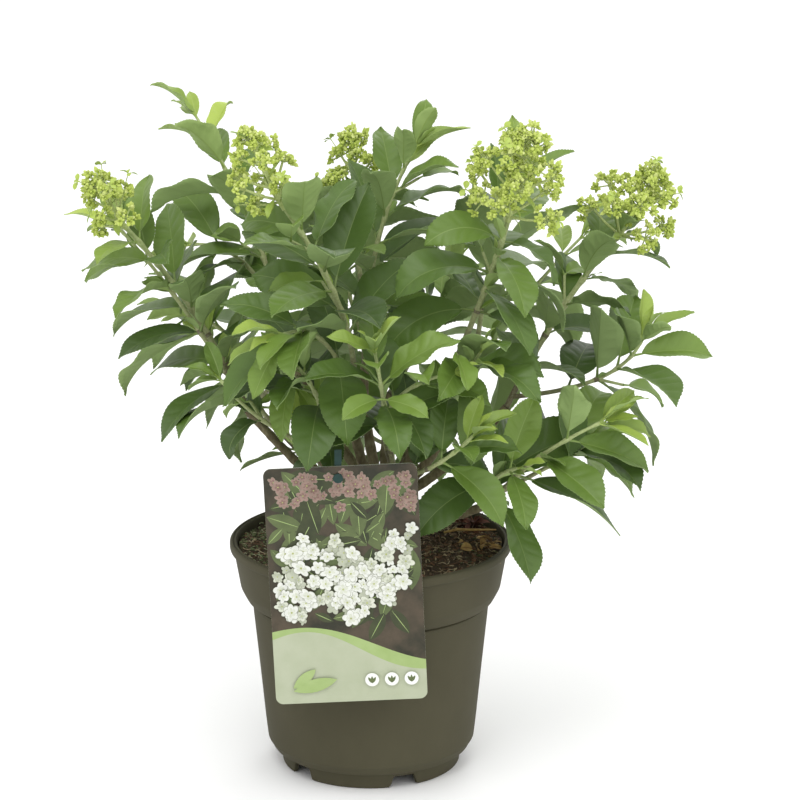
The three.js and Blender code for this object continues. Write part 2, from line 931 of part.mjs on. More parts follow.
function edgeMeetsFace([p, q], [a, b, c]) {
  const ray = minus(q, p);
  const ab = minus(b, a);
  const ac = minus(c, a);
  const h = cross(ray, ac);
  const det = dot(ab, h);
  if (Math.abs(det) < 1e-9) return false;
  const s = minus(p, a);
  const u = dot(s, h) / det;
  if (u < 0 || u > 1) return false;
  const g = cross(s, ab);
  const v = dot(ray, g) / det;
  if (v < 0 || u + v > 1) return false;
  const t = dot(ac, g) / det;
  return t >= 0 && t <= 1;
}

// Two sheets cross when an edge of one meets a face of the other, there or lifted either way.
function sheetsCross(one, two) {
  const gap = LEAF.sheetGap;
  if (!boxesMeet(one, two, gap)) return false;
  const meets = (edges, faces) =>
    faces.some((face) => {
      const normal = unit(cross(minus(face[1], face[0]), minus(face[2], face[0])));
      return [0, gap, -gap].some((lift) => {
        const lifted = face.map((corner) => plus(corner, times(normal, lift)));
        return edges.some((edge) => edgeMeetsFace(edge, lifted));
      });
    });
  return meets(one.edges, two.faces) || meets(two.edges, one.faces);
}

function distanceToEdge(point, [p, q]) {
  const line = minus(q, p);
  const share = dot(minus(point, p), line) / dot(line, line);
  return distance(point, along(p, q, Math.min(1, Math.max(0, share))));
}

// The pot's mouth and the card keep their own space.
function inKeptSpace([x, y, z]) {
  if (Math.hypot(x, y) < POT.rimRadius + 3 && z < POT.rimTop + 3) return true;
  const beside = Math.abs(x - CARD.centre[0]) < CARD.width / 2 + 6;
  return beside && y < CARD.face + 5 && z < CARD.centre[1] + CARD.height / 2 + 5;
}

// A stem as short edges, each with its radius and its box.
function stemEdges(line, radiusAt, owner) {
  const edges = [];
  for (let i = 0; i < STEM.steps; i++) {
    const from = i / STEM.steps;
    const to = (i + 1) / STEM.steps;
    const edge = [pointOn(line, from), pointOn(line, to)];
    edges.push({ edge, radius: radiusAt((from + to) / 2), owner, ...boxOf(edge) });
  }
  return edges;
}

// A leaf is free when it clears the kept space, every stem, every bud and every other leaf.
function leafIsFree(sheet, owner, placed) {
  if (sheet.points.some(inKeptSpace)) return false;
  for (const stem of placed.stems) {
    const reach = stem.radius + LEAF.stemGap;
    if (!boxesMeet(sheet, stem, reach)) continue;
    const own = stem.owner === owner;
    const points = own ? sheet.points.slice(4, 8) : sheet.points;
    if (points.some((point) => distanceToEdge(point, stem.edge) < reach)) return false;
    if (!own && sheet.faces.some((face) => edgeMeetsFace(stem.edge, face))) return false;
  }
  for (const { centre, radius } of placed.buds)
    if (sheet.points.some((point) => distance(point, centre) < radius)) return false;
  return !placed.sheets.some((other) => sheetsCross(sheet, other));
}

// The seeded rule: pairs of leaves up a shoot, each a quarter turn on from the last.
function pairOf(shoot, pair) {
  const last = Math.max(1, shoot.pairs - 1);
  const q = shoot.pairs > 1 ? pair / last : 0.5;
  const young = shoot.head === "tip";
  const small = pair === 0 && shoot.pairs > 2 ? 0.9 : 1;
  return {
    share: shoot.first + (shoot.last - shoot.first) * Math.pow(q, 0.9),
    size: (young ? 1 - 0.45 * Math.pow(q, 2.2) : 1 - 0.28 * q * q) * small,
    angle: (68 - (young ? 34 : 14) * q) * DEGREE * shoot.open,
    bend: (62 - (young ? 38 * q * q : 6 * q)) * DEGREE * shoot.droop,
  };
}

function pairLeaf(shoot, line, pair, side, draws) {
  const { share, size, angle, bend } = pairOf(shoot, pair);
  const turn = (shoot.turn + 90 * pair + 180 * side) * DEGREE + draws.spread(0.3);
  const opened = angle + draws.spread(0.2);
  const length = shoot.leaf * size * (1 + draws.spread(0.12));
  const width = length * (LEAF.widthShare + draws.spread(0.03));
  const bent = bend * (1 + draws.spread(0.3));
  const roll = draws.spread(0.35);
  const root = pointOn(line, share);
  const direction = directionOn(line, share);
  return placeLeaf(root, direction, turn, opened, { length, width }, bent, roll);
}

function sideTwig(shoot, line, pair, side, draws) {
  if (draws.next() > TWIG.chance) return null;
  const { share } = pairOf(shoot, pair);
  const root = pointOn(line, share);
  const turn = (shoot.turn + 90 * pair + 180 * side) * DEGREE + draws.spread(0.4);
  const { ahead } = leaning(directionOn(line, share), turn, TWIG.opening);
  const length = TWIG.length + draws.spread(TWIG.lengthSpread);
  return { line: bowed(root, plus(root, times(ahead, length)), [0, 0, 0]), turn };
}

function twigLeaf(shoot, twig, side, draws) {
  const length = shoot.leaf * TWIG.leafShare * (1 + draws.spread(0.15));
  const turn = twig.turn + Math.PI * (side + 0.5) + draws.spread(0.3);
  const angle = 52 * DEGREE + draws.spread(0.2);
  const size = { length, width: length * 0.46 };
  const roll = draws.spread(0.35);
  const direction = directionOn(twig.line, 1);
  return placeLeaf(twig.line[2], direction, turn, angle, size, 34 * DEGREE, roll);
}

function headOf(shoot, line, seed) {
  const draws = drawsFrom(seed + 900);
  const [width, height] = shoot.size;
  const base = shoot.end;
  const upward = unit(plus(directionOn(line, 1), [0, 0, 0.4]));
  const [right, ahead] = squareTo(upward);
  const clusters = [];
  for (let i = 0; i < shoot.clusters; i++) {
    const share = (i + 0.5) / shoot.clusters;
    const rise = height * (HEAD.lowest + (HEAD.highest - HEAD.lowest) * share);
    const ring =
      (width / 2 - HEAD.clusterRadius) *
      Math.sin(Math.PI * (0.3 + 0.66 * share)) *
      (1 + draws.spread(0.18));
    const turn = i * HEAD.goldenTurn + draws.spread(0.35);
    const out = plus(
      times(right, Math.cos(turn) * ring),
      times(ahead, Math.sin(turn) * ring),
    );
    const foot = Math.max(0, rise - 0.7 * ring - 4);
    clusters.push({
      centre: plus(base, plus(times(upward, rise + draws.spread(2.5)), out)),
      foot: plus(base, times(upward, foot)),
      radius: HEAD.clusterRadius * (1 + draws.spread(HEAD.radiusSpread)),
    });
  }
  return { clusters, base, top: plus(base, times(upward, height * 0.8)) };
}

function headSolids(head) {
  const middle = bowed(head.base, head.top, [0, 0, 0]);
  const solids = [limb(middle, taper(STEM.endRadius, 0.8), 4, 1, -0.05, 1)];
  for (const { centre, foot, radius } of head.clusters) {
    const twig = bowed(foot, centre, [0, 0, 0]);
    solids.push(limb(twig, taper(HEAD.twigRadius, HEAD.twigRadius), 3, 1));
    const cluster = new THREE.OctahedronGeometry(radius * HEAD.cornerShare, 0);
    cluster.rotateZ(centre[0]);
    cluster.scale(1, 1, 0.85);
    cluster.translate(...centre);
    solids.push(solidOf(cluster));
  }
  return solids;
}

// What the plant has taken so far: solids with their boxes, and the rule's simpler forms.
function takenSpace(fixed) {
  const taken = [];
  const take = (solid, owner) => {
    const { min, max } = solid.boundingBox();
    taken.push({ solid, owner, low: min, high: max });
  };
  for (const solid of fixed) take(solid, "");
  const isClear = (envelope, owner) => {
    const { min, max } = envelope.boundingBox();
    const box = { low: min, high: max };
    return taken.every(
      (other) =>
        other.owner === owner ||
        !boxesMeet(box, other, 0) ||
        envelope.intersect(other.solid).volume() <= 0,
    );
  };
  return { take, isClear, stems: [], buds: [], sheets: [] };
}

// Boughs leave the root crown and press past each other with a little clearance.
function growBoughs(space) {
  const radius = taper(BOUGH.rootRadius, BOUGH.tipRadius);
  const widened = taper(BOUGH.rootRadius, BOUGH.tipRadius, CLEAR);
  const envelopes = [crownSolid(CLEAR)];
  return MASSES.map((mass) => {
    const line = boughLine(mass);
    let bough = limb(line, radius, BOUGH.sides, BOUGH.steps);
    for (const envelope of envelopes) bough = bough.subtract(envelope);
    bough = smoothed(largestOf(bough));
    const envelope = limb(line, widened, BOUGH.sides, BOUGH.steps, 0, 1 + CLEAR / 60);
    envelopes.push(envelope);
    space.take(bough, "");
    space.stems.push(...stemEdges(line, radius, "bough_" + mass.name));
    return { name: mass.name, bough, envelope };
  });
}

// The stems and flower heads of a mass, before any leaf.
function growShoots(mass, massIndex, space, solids) {
  let main = null;
  return mass.shoots.map((shoot, index) => {
    const start = main ? pointOn(main, shoot.fork) : mass.tip;
    const line = bowed(start, shoot.end, shoot.bow);
    const rootRadius = main ? STEM.sideRadius : STEM.mainRadius;
    const radius = taper(rootRadius, STEM.endRadius);
    const owner = mass.name + index;
    const seed = SEED * 100000 + massIndex * 9700 + index * 1300 + shoot.seed * 17;
    const parts = [limb(line, radius, STEM.sides, STEM.steps, main ? 0 : -0.02, 1)];
    space.stems.push(...stemEdges(line, radius, owner));
    if (shoot.head === "panicle") {
      const head = headOf(shoot, line, seed);
      parts.push(...headSolids(head));
      for (const { centre, radius: size } of head.clusters)
        space.buds.push({ centre, radius: size + 1 });
    }
    for (const solid of parts) space.take(solid, mass.name);
    solids.push(...parts);
    main = main || line;
    return { mass, shoot, line, owner, seed, radius, solids };
  });
}

function settleLeaf(leaf, grown, stemRadius, space) {
  const sheet = leafSheet(leaf);
  if (!leafIsFree(sheet, grown.owner, space)) return false;
  const envelope = leafSolid(leaf, stemRadius, CLEAR + 0.1);
  if (!space.isClear(envelope, grown.mass.name)) return false;
  const solid = leafSolid(leaf, stemRadius);
  space.sheets.push(sheet);
  space.take(solid, grown.mass.name);
  grown.solids.push(solid);
  return true;
}

function growPairs(grown, space) {
  const { shoot, line, seed, radius } = grown;
  for (let pair = 0; pair < shoot.pairs; pair++)
    for (let side = 0; side < 2; side++) {
      const draws = drawsFrom(seed + pair * 2 + side);
      const stemRadius = radius(pairOf(shoot, pair).share);
      for (let attempt = 0; attempt < LEAF.tries; attempt++) {
        const leaf = pairLeaf(shoot, line, pair, side, draws);
        if (settleLeaf(leaf, grown, stemRadius, space)) break;
      }
    }
}

function growTwigs(grown, space) {
  const { shoot, line, seed, solids } = grown;
  for (let pair = 1; pair < shoot.pairs - 1; pair++)
    for (let side = 0; side < 2; side++) {
      const draws = drawsFrom(seed + 500 + pair * 2 + side);
      const twig = sideTwig(shoot, line, pair, side, draws);
      if (!twig) continue;
      const leaves = [0, 1].map((leafSide) => twigLeaf(shoot, twig, leafSide, draws));
      const kept = leaves.filter((leaf) => settleLeaf(leaf, grown, TWIG.radius, space));
      if (kept.length)
        solids.push(limb(twig.line, taper(TWIG.rootRadius, TWIG.radius), 3, 1));
    }
}

// Boughs first, then all stems and heads, next the pairs of leaves, last the side twigs.
function growPlant(fixed) {
  const crown = crownSolid();
  const space = takenSpace([crown, ...fixed]);
  const boughs = growBoughs(space);
  const masses = MASSES.map((mass) => ({ name: mass.name, solids: [] }));
  const shoots = MASSES.flatMap((mass, index) =>
    growShoots(mass, index, space, masses[index].solids),
  );
  for (const grown of shoots) growPairs(grown, space);
  for (const grown of shoots) growTwigs(grown, space);
  const foliage = masses.map(({ name, solids }, index) => {
    const whole = joined(solids).subtract(boughs[index].envelope);
    return { name, solid: largestOf(smoothed(largestOf(whole))) };
  });
  return { crown, boughs, foliage };
}

const FINISH = {
  pot: { color: 0x5a5549, roughness: 0.62 },
  soil: { color: 0x3d3327, roughness: 0.95 },
  card: { color: 0xb9c6a2, roughness: 0.4 },
  holder: { color: 0x1f4a4c, roughness: 0.45 },
  bark: { color: 0x6a5a45, roughness: 0.85 },
  foliage: { color: 0x4f7a38, roughness: 0.6 },
};

function geometryOf(solid) {
  const { numProp, vertProperties, triVerts, numVert } = solid.getMesh();
  const positions = new Float32Array(numVert * 3);
  for (let i = 0; i < numVert; i++)
    for (let k = 0; k < 3; k++)
      positions[i * 3 + k] = vertProperties[i * numProp + k];
  const geometry = new THREE.BufferGeometry();
  geometry.setAttribute("position", new THREE.BufferAttribute(positions, 3));
  geometry.setIndex(new THREE.BufferAttribute(triVerts, 1));
  geometry.computeVertexNormals();
  return geometry;
}

function meshOf(name, geometry, finish) {
  const material = new THREE.MeshStandardMaterial({ ...FINISH[finish], metalness: 0 });
  const mesh = new THREE.Mesh(geometry, material);
  mesh.name = name;
  return mesh;
}

const pot = makePot();
const holder = makeHolder();
const soil = makeSoil(makeHolder(CLEAR));
const card = solidOf(cardGeometry().applyMatrix4(cardPose.matrixWorld));
const plant = growPlant([pot, card, holder]);

const container = new THREE.Group();
container.add(meshOf("pot", geometryOf(pot), "pot"));
container.add(meshOf("soil", geometryOf(soil), "soil"));

cardPose.add(meshOf("label_card", cardGeometry(), "card"));
const label = new THREE.Group();
label.add(cardPose, meshOf("label_holder", geometryOf(holder), "holder"));

const shrub = new THREE.Group();
shrub.add(meshOf("root_crown", geometryOf(plant.crown), "bark"));
for (const { name, bough } of plant.boughs)
  shrub.add(meshOf("bough_" + name, geometryOf(bough), "bark"));
for (const { name, solid } of plant.foliage)
  shrub.add(meshOf("foliage_" + name, geometryOf(solid), "foliage"));

const hydrangea = new THREE.Group();
hydrangea.add(container, label, shrub);

export default hydrangea;
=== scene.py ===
# A panicle hydrangea in its nursery pot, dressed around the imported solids.
# The growth rule works in millimetres, as the part does, and every mesh is written in metres.
from math import acos, atan2, cos, exp, hypot, pi, sin, sqrt
from itertools import product
from types import SimpleNamespace as Facts

import bmesh
import bpy
import numpy as np
from mathutils import Matrix, Vector, noise
from mathutils.geometry import tessellate_polygon
from mathutils.kdtree import KDTree


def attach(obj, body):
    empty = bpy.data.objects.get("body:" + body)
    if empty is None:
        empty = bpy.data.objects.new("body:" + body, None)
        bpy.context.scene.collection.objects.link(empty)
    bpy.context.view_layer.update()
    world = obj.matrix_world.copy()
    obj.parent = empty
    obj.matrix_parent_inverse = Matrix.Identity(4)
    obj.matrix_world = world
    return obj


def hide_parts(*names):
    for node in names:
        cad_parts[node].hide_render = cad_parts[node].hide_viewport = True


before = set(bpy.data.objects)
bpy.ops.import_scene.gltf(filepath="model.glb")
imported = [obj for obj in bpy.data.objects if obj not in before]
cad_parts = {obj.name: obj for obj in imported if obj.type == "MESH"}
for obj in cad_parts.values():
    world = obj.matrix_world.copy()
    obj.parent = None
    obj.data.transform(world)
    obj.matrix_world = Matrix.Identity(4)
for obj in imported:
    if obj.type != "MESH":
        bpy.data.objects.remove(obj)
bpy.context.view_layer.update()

MM = 0.001
DEGREE = pi / 180
SEED = 11

# The camera of the photograph: its target, how far it looks down, and its lens.
CAMERA_TARGET = (20, 0, 256)
CAMERA_PITCH = 15.35 * DEGREE
CAMERA_DISTANCE = 2200
SENSOR = 36
FOCAL_PIXELS = 3264
FRAME_PIXELS = 800

CROWN_BASE = (6, 2, 157.9)
CROWN_TOP = (8, 0, 191)
CROWN_FLARE = 15
CROWN_NECK = 10.5
NECK_SHARE = 0.3
CROWN_TOP_RADIUS = 9
BOUGH_ROOT_RADIUS = 4.2
BOUGH_TIP_RADIUS = 3
STEM_MAIN_RADIUS = 2.5
STEM_SIDE_RADIUS = 2.1
STEM_END_RADIUS = 1.2
HEAD_STEM_RADIUS = 1.95

PETIOLE_END = 0.14
LEAF_FOLD = 0.16
LEAF_OUTWARD_TILT = 0.65
LEAF_TRIES = 5
TWIG_CHANCE = 0.14
TWIG_OPENING = 38 * DEGREE
TWIG_LENGTH = 20
TWIG_SPREAD = 6
TWIG_LEAF_SHARE = 0.5
CLUSTER_RADIUS = 7.6
GOLDEN_TURN = 137.5 * DEGREE


class Shoot(Facts):
    """A shoot: the end and bow of its line, the fork where it leaves the mass's first shoot,
    how many pairs of leaves it has between first and last, the turn of the first pair, its
    longest leaf, how far leaves open and droop, and its seed. It ends in a leafy tip, in
    nothing or in a panicle, a flower head of the given size and number of bud clusters."""

    head = "tip"


class Mass:
    """A mass of foliage: how far up the root crown its bough leaves, the bough's tip and bow,
    and its shoots."""

    def __init__(self, name, crown_share, tip, bow, *shoots):
        self.name = name
        self.crown_share = crown_share
        self.tip = tip
        self.bow = bow
        self.shoots = shoots


# The masses as the part grows them.
MASSES = [
    Mass("left", 0.35, (-82, -15, 253), (4, 0, -12),
        Shoot(end=(-164, -10, 380), bow=(5, 16, -1), pairs=6, first=0.23, last=0.89, turn=139, leaf=71,
            open=0.82, droop=0.84, seed=38, head="panicle", size=(50, 42), clusters=9),
        Shoot(end=(-169, 28, 368), bow=(0, -9, 10), fork=0.04, pairs=5, first=0.09, last=0.97, turn=59,
            leaf=74, open=1.11, droop=0.66, seed=18),
        Shoot(end=(-50, -52, 282), bow=(7, -8, 13), fork=0, pairs=2, first=0.04, last=0.86, turn=20,
            leaf=76, open=1.09, droop=1.15, seed=36, head="none"),
    ),
    Mass("upper_left", 0.8, (-52, 42, 268), (-2, 6, -4),
        Shoot(end=(-119, 88, 432), bow=(8, -17, 6), pairs=7, first=0.15, last=0.9, turn=4, leaf=76,
            open=0.91, droop=1.04, seed=43),
        Shoot(end=(-124, 86, 344), bow=(5, -5, 20), fork=0.1, pairs=4, first=0.27, last=0.98, turn=171,
            leaf=76, open=1.19, droop=1.24, seed=27),
    ),
    Mass("centre_left", 0.75, (-12, -38, 262), (-4, -4, 0),
        Shoot(end=(-57, -70, 407), bow=(17, -7, -4), pairs=6, first=0.4, last=0.87, turn=44, leaf=76,
            open=0.82, droop=0.5, seed=52, head="panicle", size=(54, 56), clusters=11),
        Shoot(end=(-55, -98, 326), bow=(3, -2, 18), fork=0.05, pairs=4, first=0.26, last=0.98, turn=87,
            leaf=76, open=0.99, droop=0.75, seed=32),
    ),
    Mass("centre", 0.95, (-4, 18, 275), (-4, 4, 0),
        Shoot(end=(30, 10, 427), bow=(-9, -7, 7), pairs=7, first=0.24, last=1, turn=141, leaf=69,
            open=0.75, droop=0.69, seed=28),
        Shoot(end=(-12, 72, 382), bow=(-2, 18, 2), fork=0.2, pairs=5, first=0.37, last=0.8, turn=163,
            leaf=74, open=1.16, droop=1.18, seed=31, head="panicle", size=(50, 50), clusters=9),
    ),
    Mass("right_centre", 0.85, (52, -28, 280), (4, -4, 0),
        Shoot(end=(91, -46, 392), bow=(3, 2, 1), pairs=5, first=0.4, last=0.84, turn=8, leaf=76,
            open=1.18, droop=1.28, seed=11, head="panicle", size=(74, 66), clusters=15),
        Shoot(end=(72, -84, 311), bow=(-2, -7, -6), fork=0.05, pairs=4, first=0.24, last=0.8, turn=33,
            leaf=72, open=0.75, droop=1.17, seed=44),
    ),
    Mass("right", 0.7, (92, 4, 250), (2, 6, -8),
        Shoot(end=(168, 30, 363), bow=(-2, 5, 5), pairs=6, first=0.18, last=1, turn=128, leaf=59,
            open=0.75, droop=0.77, seed=9, head="panicle", size=(76, 54), clusters=12),
        Shoot(end=(181, -20, 304), bow=(15, -8, -5), fork=0.05, pairs=5, first=0.29, last=0.96,
            turn=110, leaf=75, open=1.17, droop=0.5, seed=47),
    ),
    Mass("low_right", 0.25, (84, -36, 196), (4, -4, -2),
        Shoot(end=(151, -64, 258), bow=(-9, -10, 4), pairs=5, first=0.04, last=0.99, turn=117, leaf=76,
            open=1.13, droop=0.57, seed=12),
        Shoot(end=(97, -74, 230), bow=(-9, 1, 1), fork=0.1, pairs=2, first=0.4, last=0.88, turn=38,
            leaf=70, open=1.11, droop=0.68, seed=50, head="none"),
        Shoot(end=(146, -22, 230), bow=(12, 3, 6), fork=0.12, pairs=4, first=0.38, last=0.8, turn=163,
            leaf=71, open=0.87, droop=1.14, seed=24),
    ),
    Mass("front", 0.38, (18, -50, 205), (1, -3.5, -3),
        Shoot(end=(4, -112, 318), bow=(0, -7, 7), pairs=6, first=0.27, last=1, turn=100, leaf=63,
            open=1.04, droop=0.9, seed=35),
        Shoot(end=(67, -102, 260), bow=(0, -7, -4), fork=0.1, pairs=5, first=0.23, last=0.92, turn=154,
            leaf=61, open=1.08, droop=0.99, seed=53),
        Shoot(end=(52, -96, 300), bow=(-20, -1, 10), fork=0.15, pairs=4, first=0.28, last=1, turn=42,
            leaf=60, open=1, droop=1.16, seed=10),
    ),
    Mass("front_left", 0.3, (-22, -46, 216), (0, -6, -4),
        Shoot(end=(-46, -76, 299), bow=(3, -6, 10), pairs=5, first=0.4, last=0.9, turn=170, leaf=76,
            open=0.89, droop=1.5, seed=52),
        Shoot(end=(-97, -58, 285), bow=(-5, -13, -1), fork=0.15, pairs=3, first=0.04, last=1, turn=161,
            leaf=50, open=0.85, droop=1.5, seed=59),
    ),
    Mass("back_right", 0.6, (72, 58, 248), (2, 4, -6),
        Shoot(end=(102, 88, 391), bow=(-8, -18, 2), pairs=6, first=0.4, last=0.98, turn=135, leaf=76,
            open=0.76, droop=0.5, seed=23),
        Shoot(end=(146, 110, 343), bow=(-9, 0, -4), fork=0.08, pairs=4, first=0.25, last=0.88, turn=35,
            leaf=76, open=1.3, droop=1.5, seed=53),
    ),
    Mass("back", 0.5, (12, 72, 240), (0, 6, -4),
        Shoot(end=(65, 150, 324), bow=(-4, 18, -19), pairs=5, first=0.38, last=0.87, turn=23, leaf=76,
            open=0.94, droop=0.63, seed=0),
        Shoot(end=(-22, 146, 342), bow=(-8, -2, -5), fork=0.08, pairs=5, first=0.4, last=0.81, turn=143,
            leaf=57, open=1.13, droop=1.5, seed=24),
    ),
    Mass("back_left", 0.4, (-56, 72, 228), (-4, 6, -6),
        Shoot(end=(-61, 142, 287), bow=(-15, 7, 13), pairs=5, first=0.32, last=0.81, turn=1, leaf=76,
            open=1.3, droop=0.71, seed=41),
        Shoot(end=(-128, 104, 289), bow=(-5, 2, 14), fork=0.08, pairs=4, first=0.05, last=0.87,
            turn=174, leaf=76, open=1.02, droop=1, seed=34),
    ),
    Mass("low_back", 0.2, (26, 52, 206), (0, 6, -2),
        Shoot(end=(53, 112, 229), bow=(-4, 12, -2), pairs=4, first=0.1, last=0.85, turn=99, leaf=57,
            open=1.09, droop=0.5, seed=46),
        Shoot(end=(-7, 118, 225), bow=(-10, -16, -7), fork=0.1, pairs=3, first=0.26, last=0.89, turn=68,
            leaf=65, open=1.3, droop=1.15, seed=12),
    ),
    Mass("low_left", 0.2, (-44, 30, 206), (-2, 2, -4),
        Shoot(end=(-114, 44, 298), bow=(-10, 3, 3), pairs=4, first=0.04, last=0.83, turn=33, leaf=46,
            open=0.75, droop=0.71, seed=33),
    ),
]


def vec(*values):
    return np.array(values, dtype=float)


def unit(a):
    return a / sqrt(float(a @ a))


def circle(count):
    """The turns of count places spread evenly round a circle."""
    return np.arange(count) * 2 * pi / count


class Draws:
    """Seeded draws, the same numbers as the part's."""

    def __init__(self, number):
        self.state = (number * 2654435 + 977) % 4294967296
        self.next()
        self.next()

    def next(self):
        self.state = (self.state * 1664525 + 1013904223) % 4294967296
        return self.state / 4294967296

    def spread(self, half):
        return (self.next() * 2 - 1) * half

    def pick(self, low, high):
        return low + (high - low) * self.next()


class Line:
    """A limb's line: a quadratic curve whose middle is pushed aside by bow."""

    def __init__(self, start, end, bow=(0, 0, 0)):
        self.start = np.array(start, dtype=float)
        self.end = np.array(end, dtype=float)
        self.middle = (self.start + self.end) / 2 + 2 * np.array(bow, dtype=float)
        self.length = float(np.linalg.norm(self.end - self.start))

    def at(self, s):
        return self.start * (1 - s) ** 2 + self.middle * 2 * s * (1 - s) + self.end * s * s

    def direction(self, s):
        one = (self.middle - self.start) * 2 * (1 - s)
        return unit(one + (self.end - self.middle) * 2 * s)


def square_to(direction):
    if abs(direction[1]) < 0.95:
        side = unit(np.cross((0, -1, 0), direction))
    else:
        side = vec(1, 0, 0)
    return side, np.cross(direction, side)


def leaning(direction, turn, angle):
    side, other = square_to(direction)
    out = side * cos(turn) + other * sin(turn)
    return out, unit(direction * cos(angle) + out * sin(angle))


class Leaf:
    """A leaf on an arc that bends down from its root, its blade leaning outward."""

    def __init__(self, root, direction, turn, angle, length, width, bend, roll):
        out, ahead = leaning(direction, turn, angle)
        level = hypot(ahead[0], ahead[1])
        if level < 0.05:
            self.heading = unit(vec(out[0], out[1], 0))
        else:
            self.heading = vec(ahead[0] / level, ahead[1] / level, 0)
        middle = root + self.heading * length * 0.4 - np.array(CROWN_TOP)
        far = hypot(middle[0], middle[1]) + 20
        outward = middle[1] * self.heading[0] - middle[0] * self.heading[1]
        self.root = root
        self.rise = atan2(ahead[2], level)
        self.bend = bend
        self.length = length
        self.width = width
        self.roll = roll - LEAF_OUTWARD_TILT * outward / far

    def station(self, u):
        """Places, sideways and upward directions at shares u of the length, one row for each."""
        u = np.atleast_1d(np.asarray(u, dtype=float))
        slope = self.rise - self.bend * u
        radius = self.length / self.bend
        forward = radius * (sin(self.rise) - np.sin(slope))
        up = radius * (np.cos(slope) - cos(self.rise))
        place = self.root + forward[:, None] * self.heading
        place[:, 2] += up
        ahead = np.cos(slope)[:, None] * self.heading
        ahead[:, 2] += np.sin(slope)
        flat = np.tile(vec(-self.heading[1], self.heading[0], 0), (len(u), 1))
        lift = np.cross(ahead, flat)
        across = flat * cos(self.roll) + lift * sin(self.roll)
        return place, across, np.cross(ahead, across)

    def tip(self):
        return self.station(1)[0][0]


def pair_of(shoot, pair):
    """Where a pair of leaves sits on its shoot, and how large, open and bent it is."""
    q = pair / (shoot.pairs - 1)
    young = shoot.head == "tip"
    small = 0.9 if pair == 0 and shoot.pairs > 2 else 1
    return Facts(
        q=q,
        share=shoot.first + (shoot.last - shoot.first) * q**0.9,
        size=(1 - 0.45 * q**2.2 if young else 1 - 0.28 * q * q) * small,
        angle=(68 - (34 if young else 14) * q) * DEGREE * shoot.open,
        bend=(62 - (38 * q * q if young else 6 * q)) * DEGREE * shoot.droop,
    )


def pair_turn(shoot, pair, side=0):
    return (shoot.turn + 90 * pair + 180 * side) * DEGREE


def pair_leaf(shoot, line, pair, side, draws):
    facts = pair_of(shoot, pair)
    turn = pair_turn(shoot, pair, side) + draws.spread(0.3)
    angle = facts.angle + draws.spread(0.2)
    length = shoot.leaf * facts.size * (1 + draws.spread(0.12))
    width = length * (0.44 + draws.spread(0.03))
    bend = facts.bend * (1 + draws.spread(0.3))
    roll = draws.spread(0.35)
    root = line.at(facts.share)
    return Leaf(root, line.direction(facts.share), turn, angle, length, width, bend, roll)


def side_twig(shoot, line, pair, side, draws):
    if draws.next() > TWIG_CHANCE:
        return None
    share = pair_of(shoot, pair).share
    root = line.at(share)
    turn = pair_turn(shoot, pair, side) + draws.spread(0.4)
    ahead = leaning(line.direction(share), turn, TWIG_OPENING)[1]
    length = TWIG_LENGTH + draws.spread(TWIG_SPREAD)
    return Line(root, root + ahead * length), turn


def twig_leaf(shoot, twig, side, draws):
    line, twig_turn = twig
    length = shoot.leaf * TWIG_LEAF_SHARE * (1 + draws.spread(0.15))
    turn = twig_turn + pi * (side + 0.5) + draws.spread(0.3)
    angle = 52 * DEGREE + draws.spread(0.2)
    roll = draws.spread(0.35)
    width = length * 0.46
    return Leaf(line.end, line.direction(1), turn, angle, length, width, 34 * DEGREE, roll)


def head_of(shoot, line, seed):
    """A flower head's clusters as (centre, foot, radius), its upward direction and its top."""
    draws = Draws(seed + 900)
    width, height = shoot.size
    base = line.end
    upward = unit(line.direction(1) + vec(0, 0, 0.4))
    right, ahead = square_to(upward)
    clusters = []
    for i in range(shoot.clusters):
        share = (i + 0.5) / shoot.clusters
        rise = height * (0.1 + 0.8 * share)
        ring = (width / 2 - CLUSTER_RADIUS) * sin(pi * (0.3 + 0.66 * share))
        ring *= 1 + draws.spread(0.18)
        turn = i * GOLDEN_TURN + draws.spread(0.35)
        out = right * cos(turn) * ring + ahead * sin(turn) * ring
        centre = base + upward * (rise + draws.spread(2.5)) + out
        foot = base + upward * max(0, rise - 0.7 * ring - 4)
        clusters.append((centre, foot, CLUSTER_RADIUS * (1 + draws.spread(0.16))))
    return clusters, upward, base + upward * height * 0.8


def srgb(red, green, blue):
    """A colour from 0 to 255 as the eye sees it, in the linear values a shader takes."""
    return tuple(
        c / 12.92 if c <= 0.04045 else ((c + 0.055) / 1.055) ** 2.4
        for c in (red / 255, green / 255, blue / 255)
    )


def mixed(one, two, share):
    return tuple(a + (b - a) * share for a, b in zip(one, two))


def placed(name, data):
    """A new object in the scene."""
    thing = bpy.data.objects.new(name, data)
    bpy.context.scene.collection.objects.link(thing)
    return thing


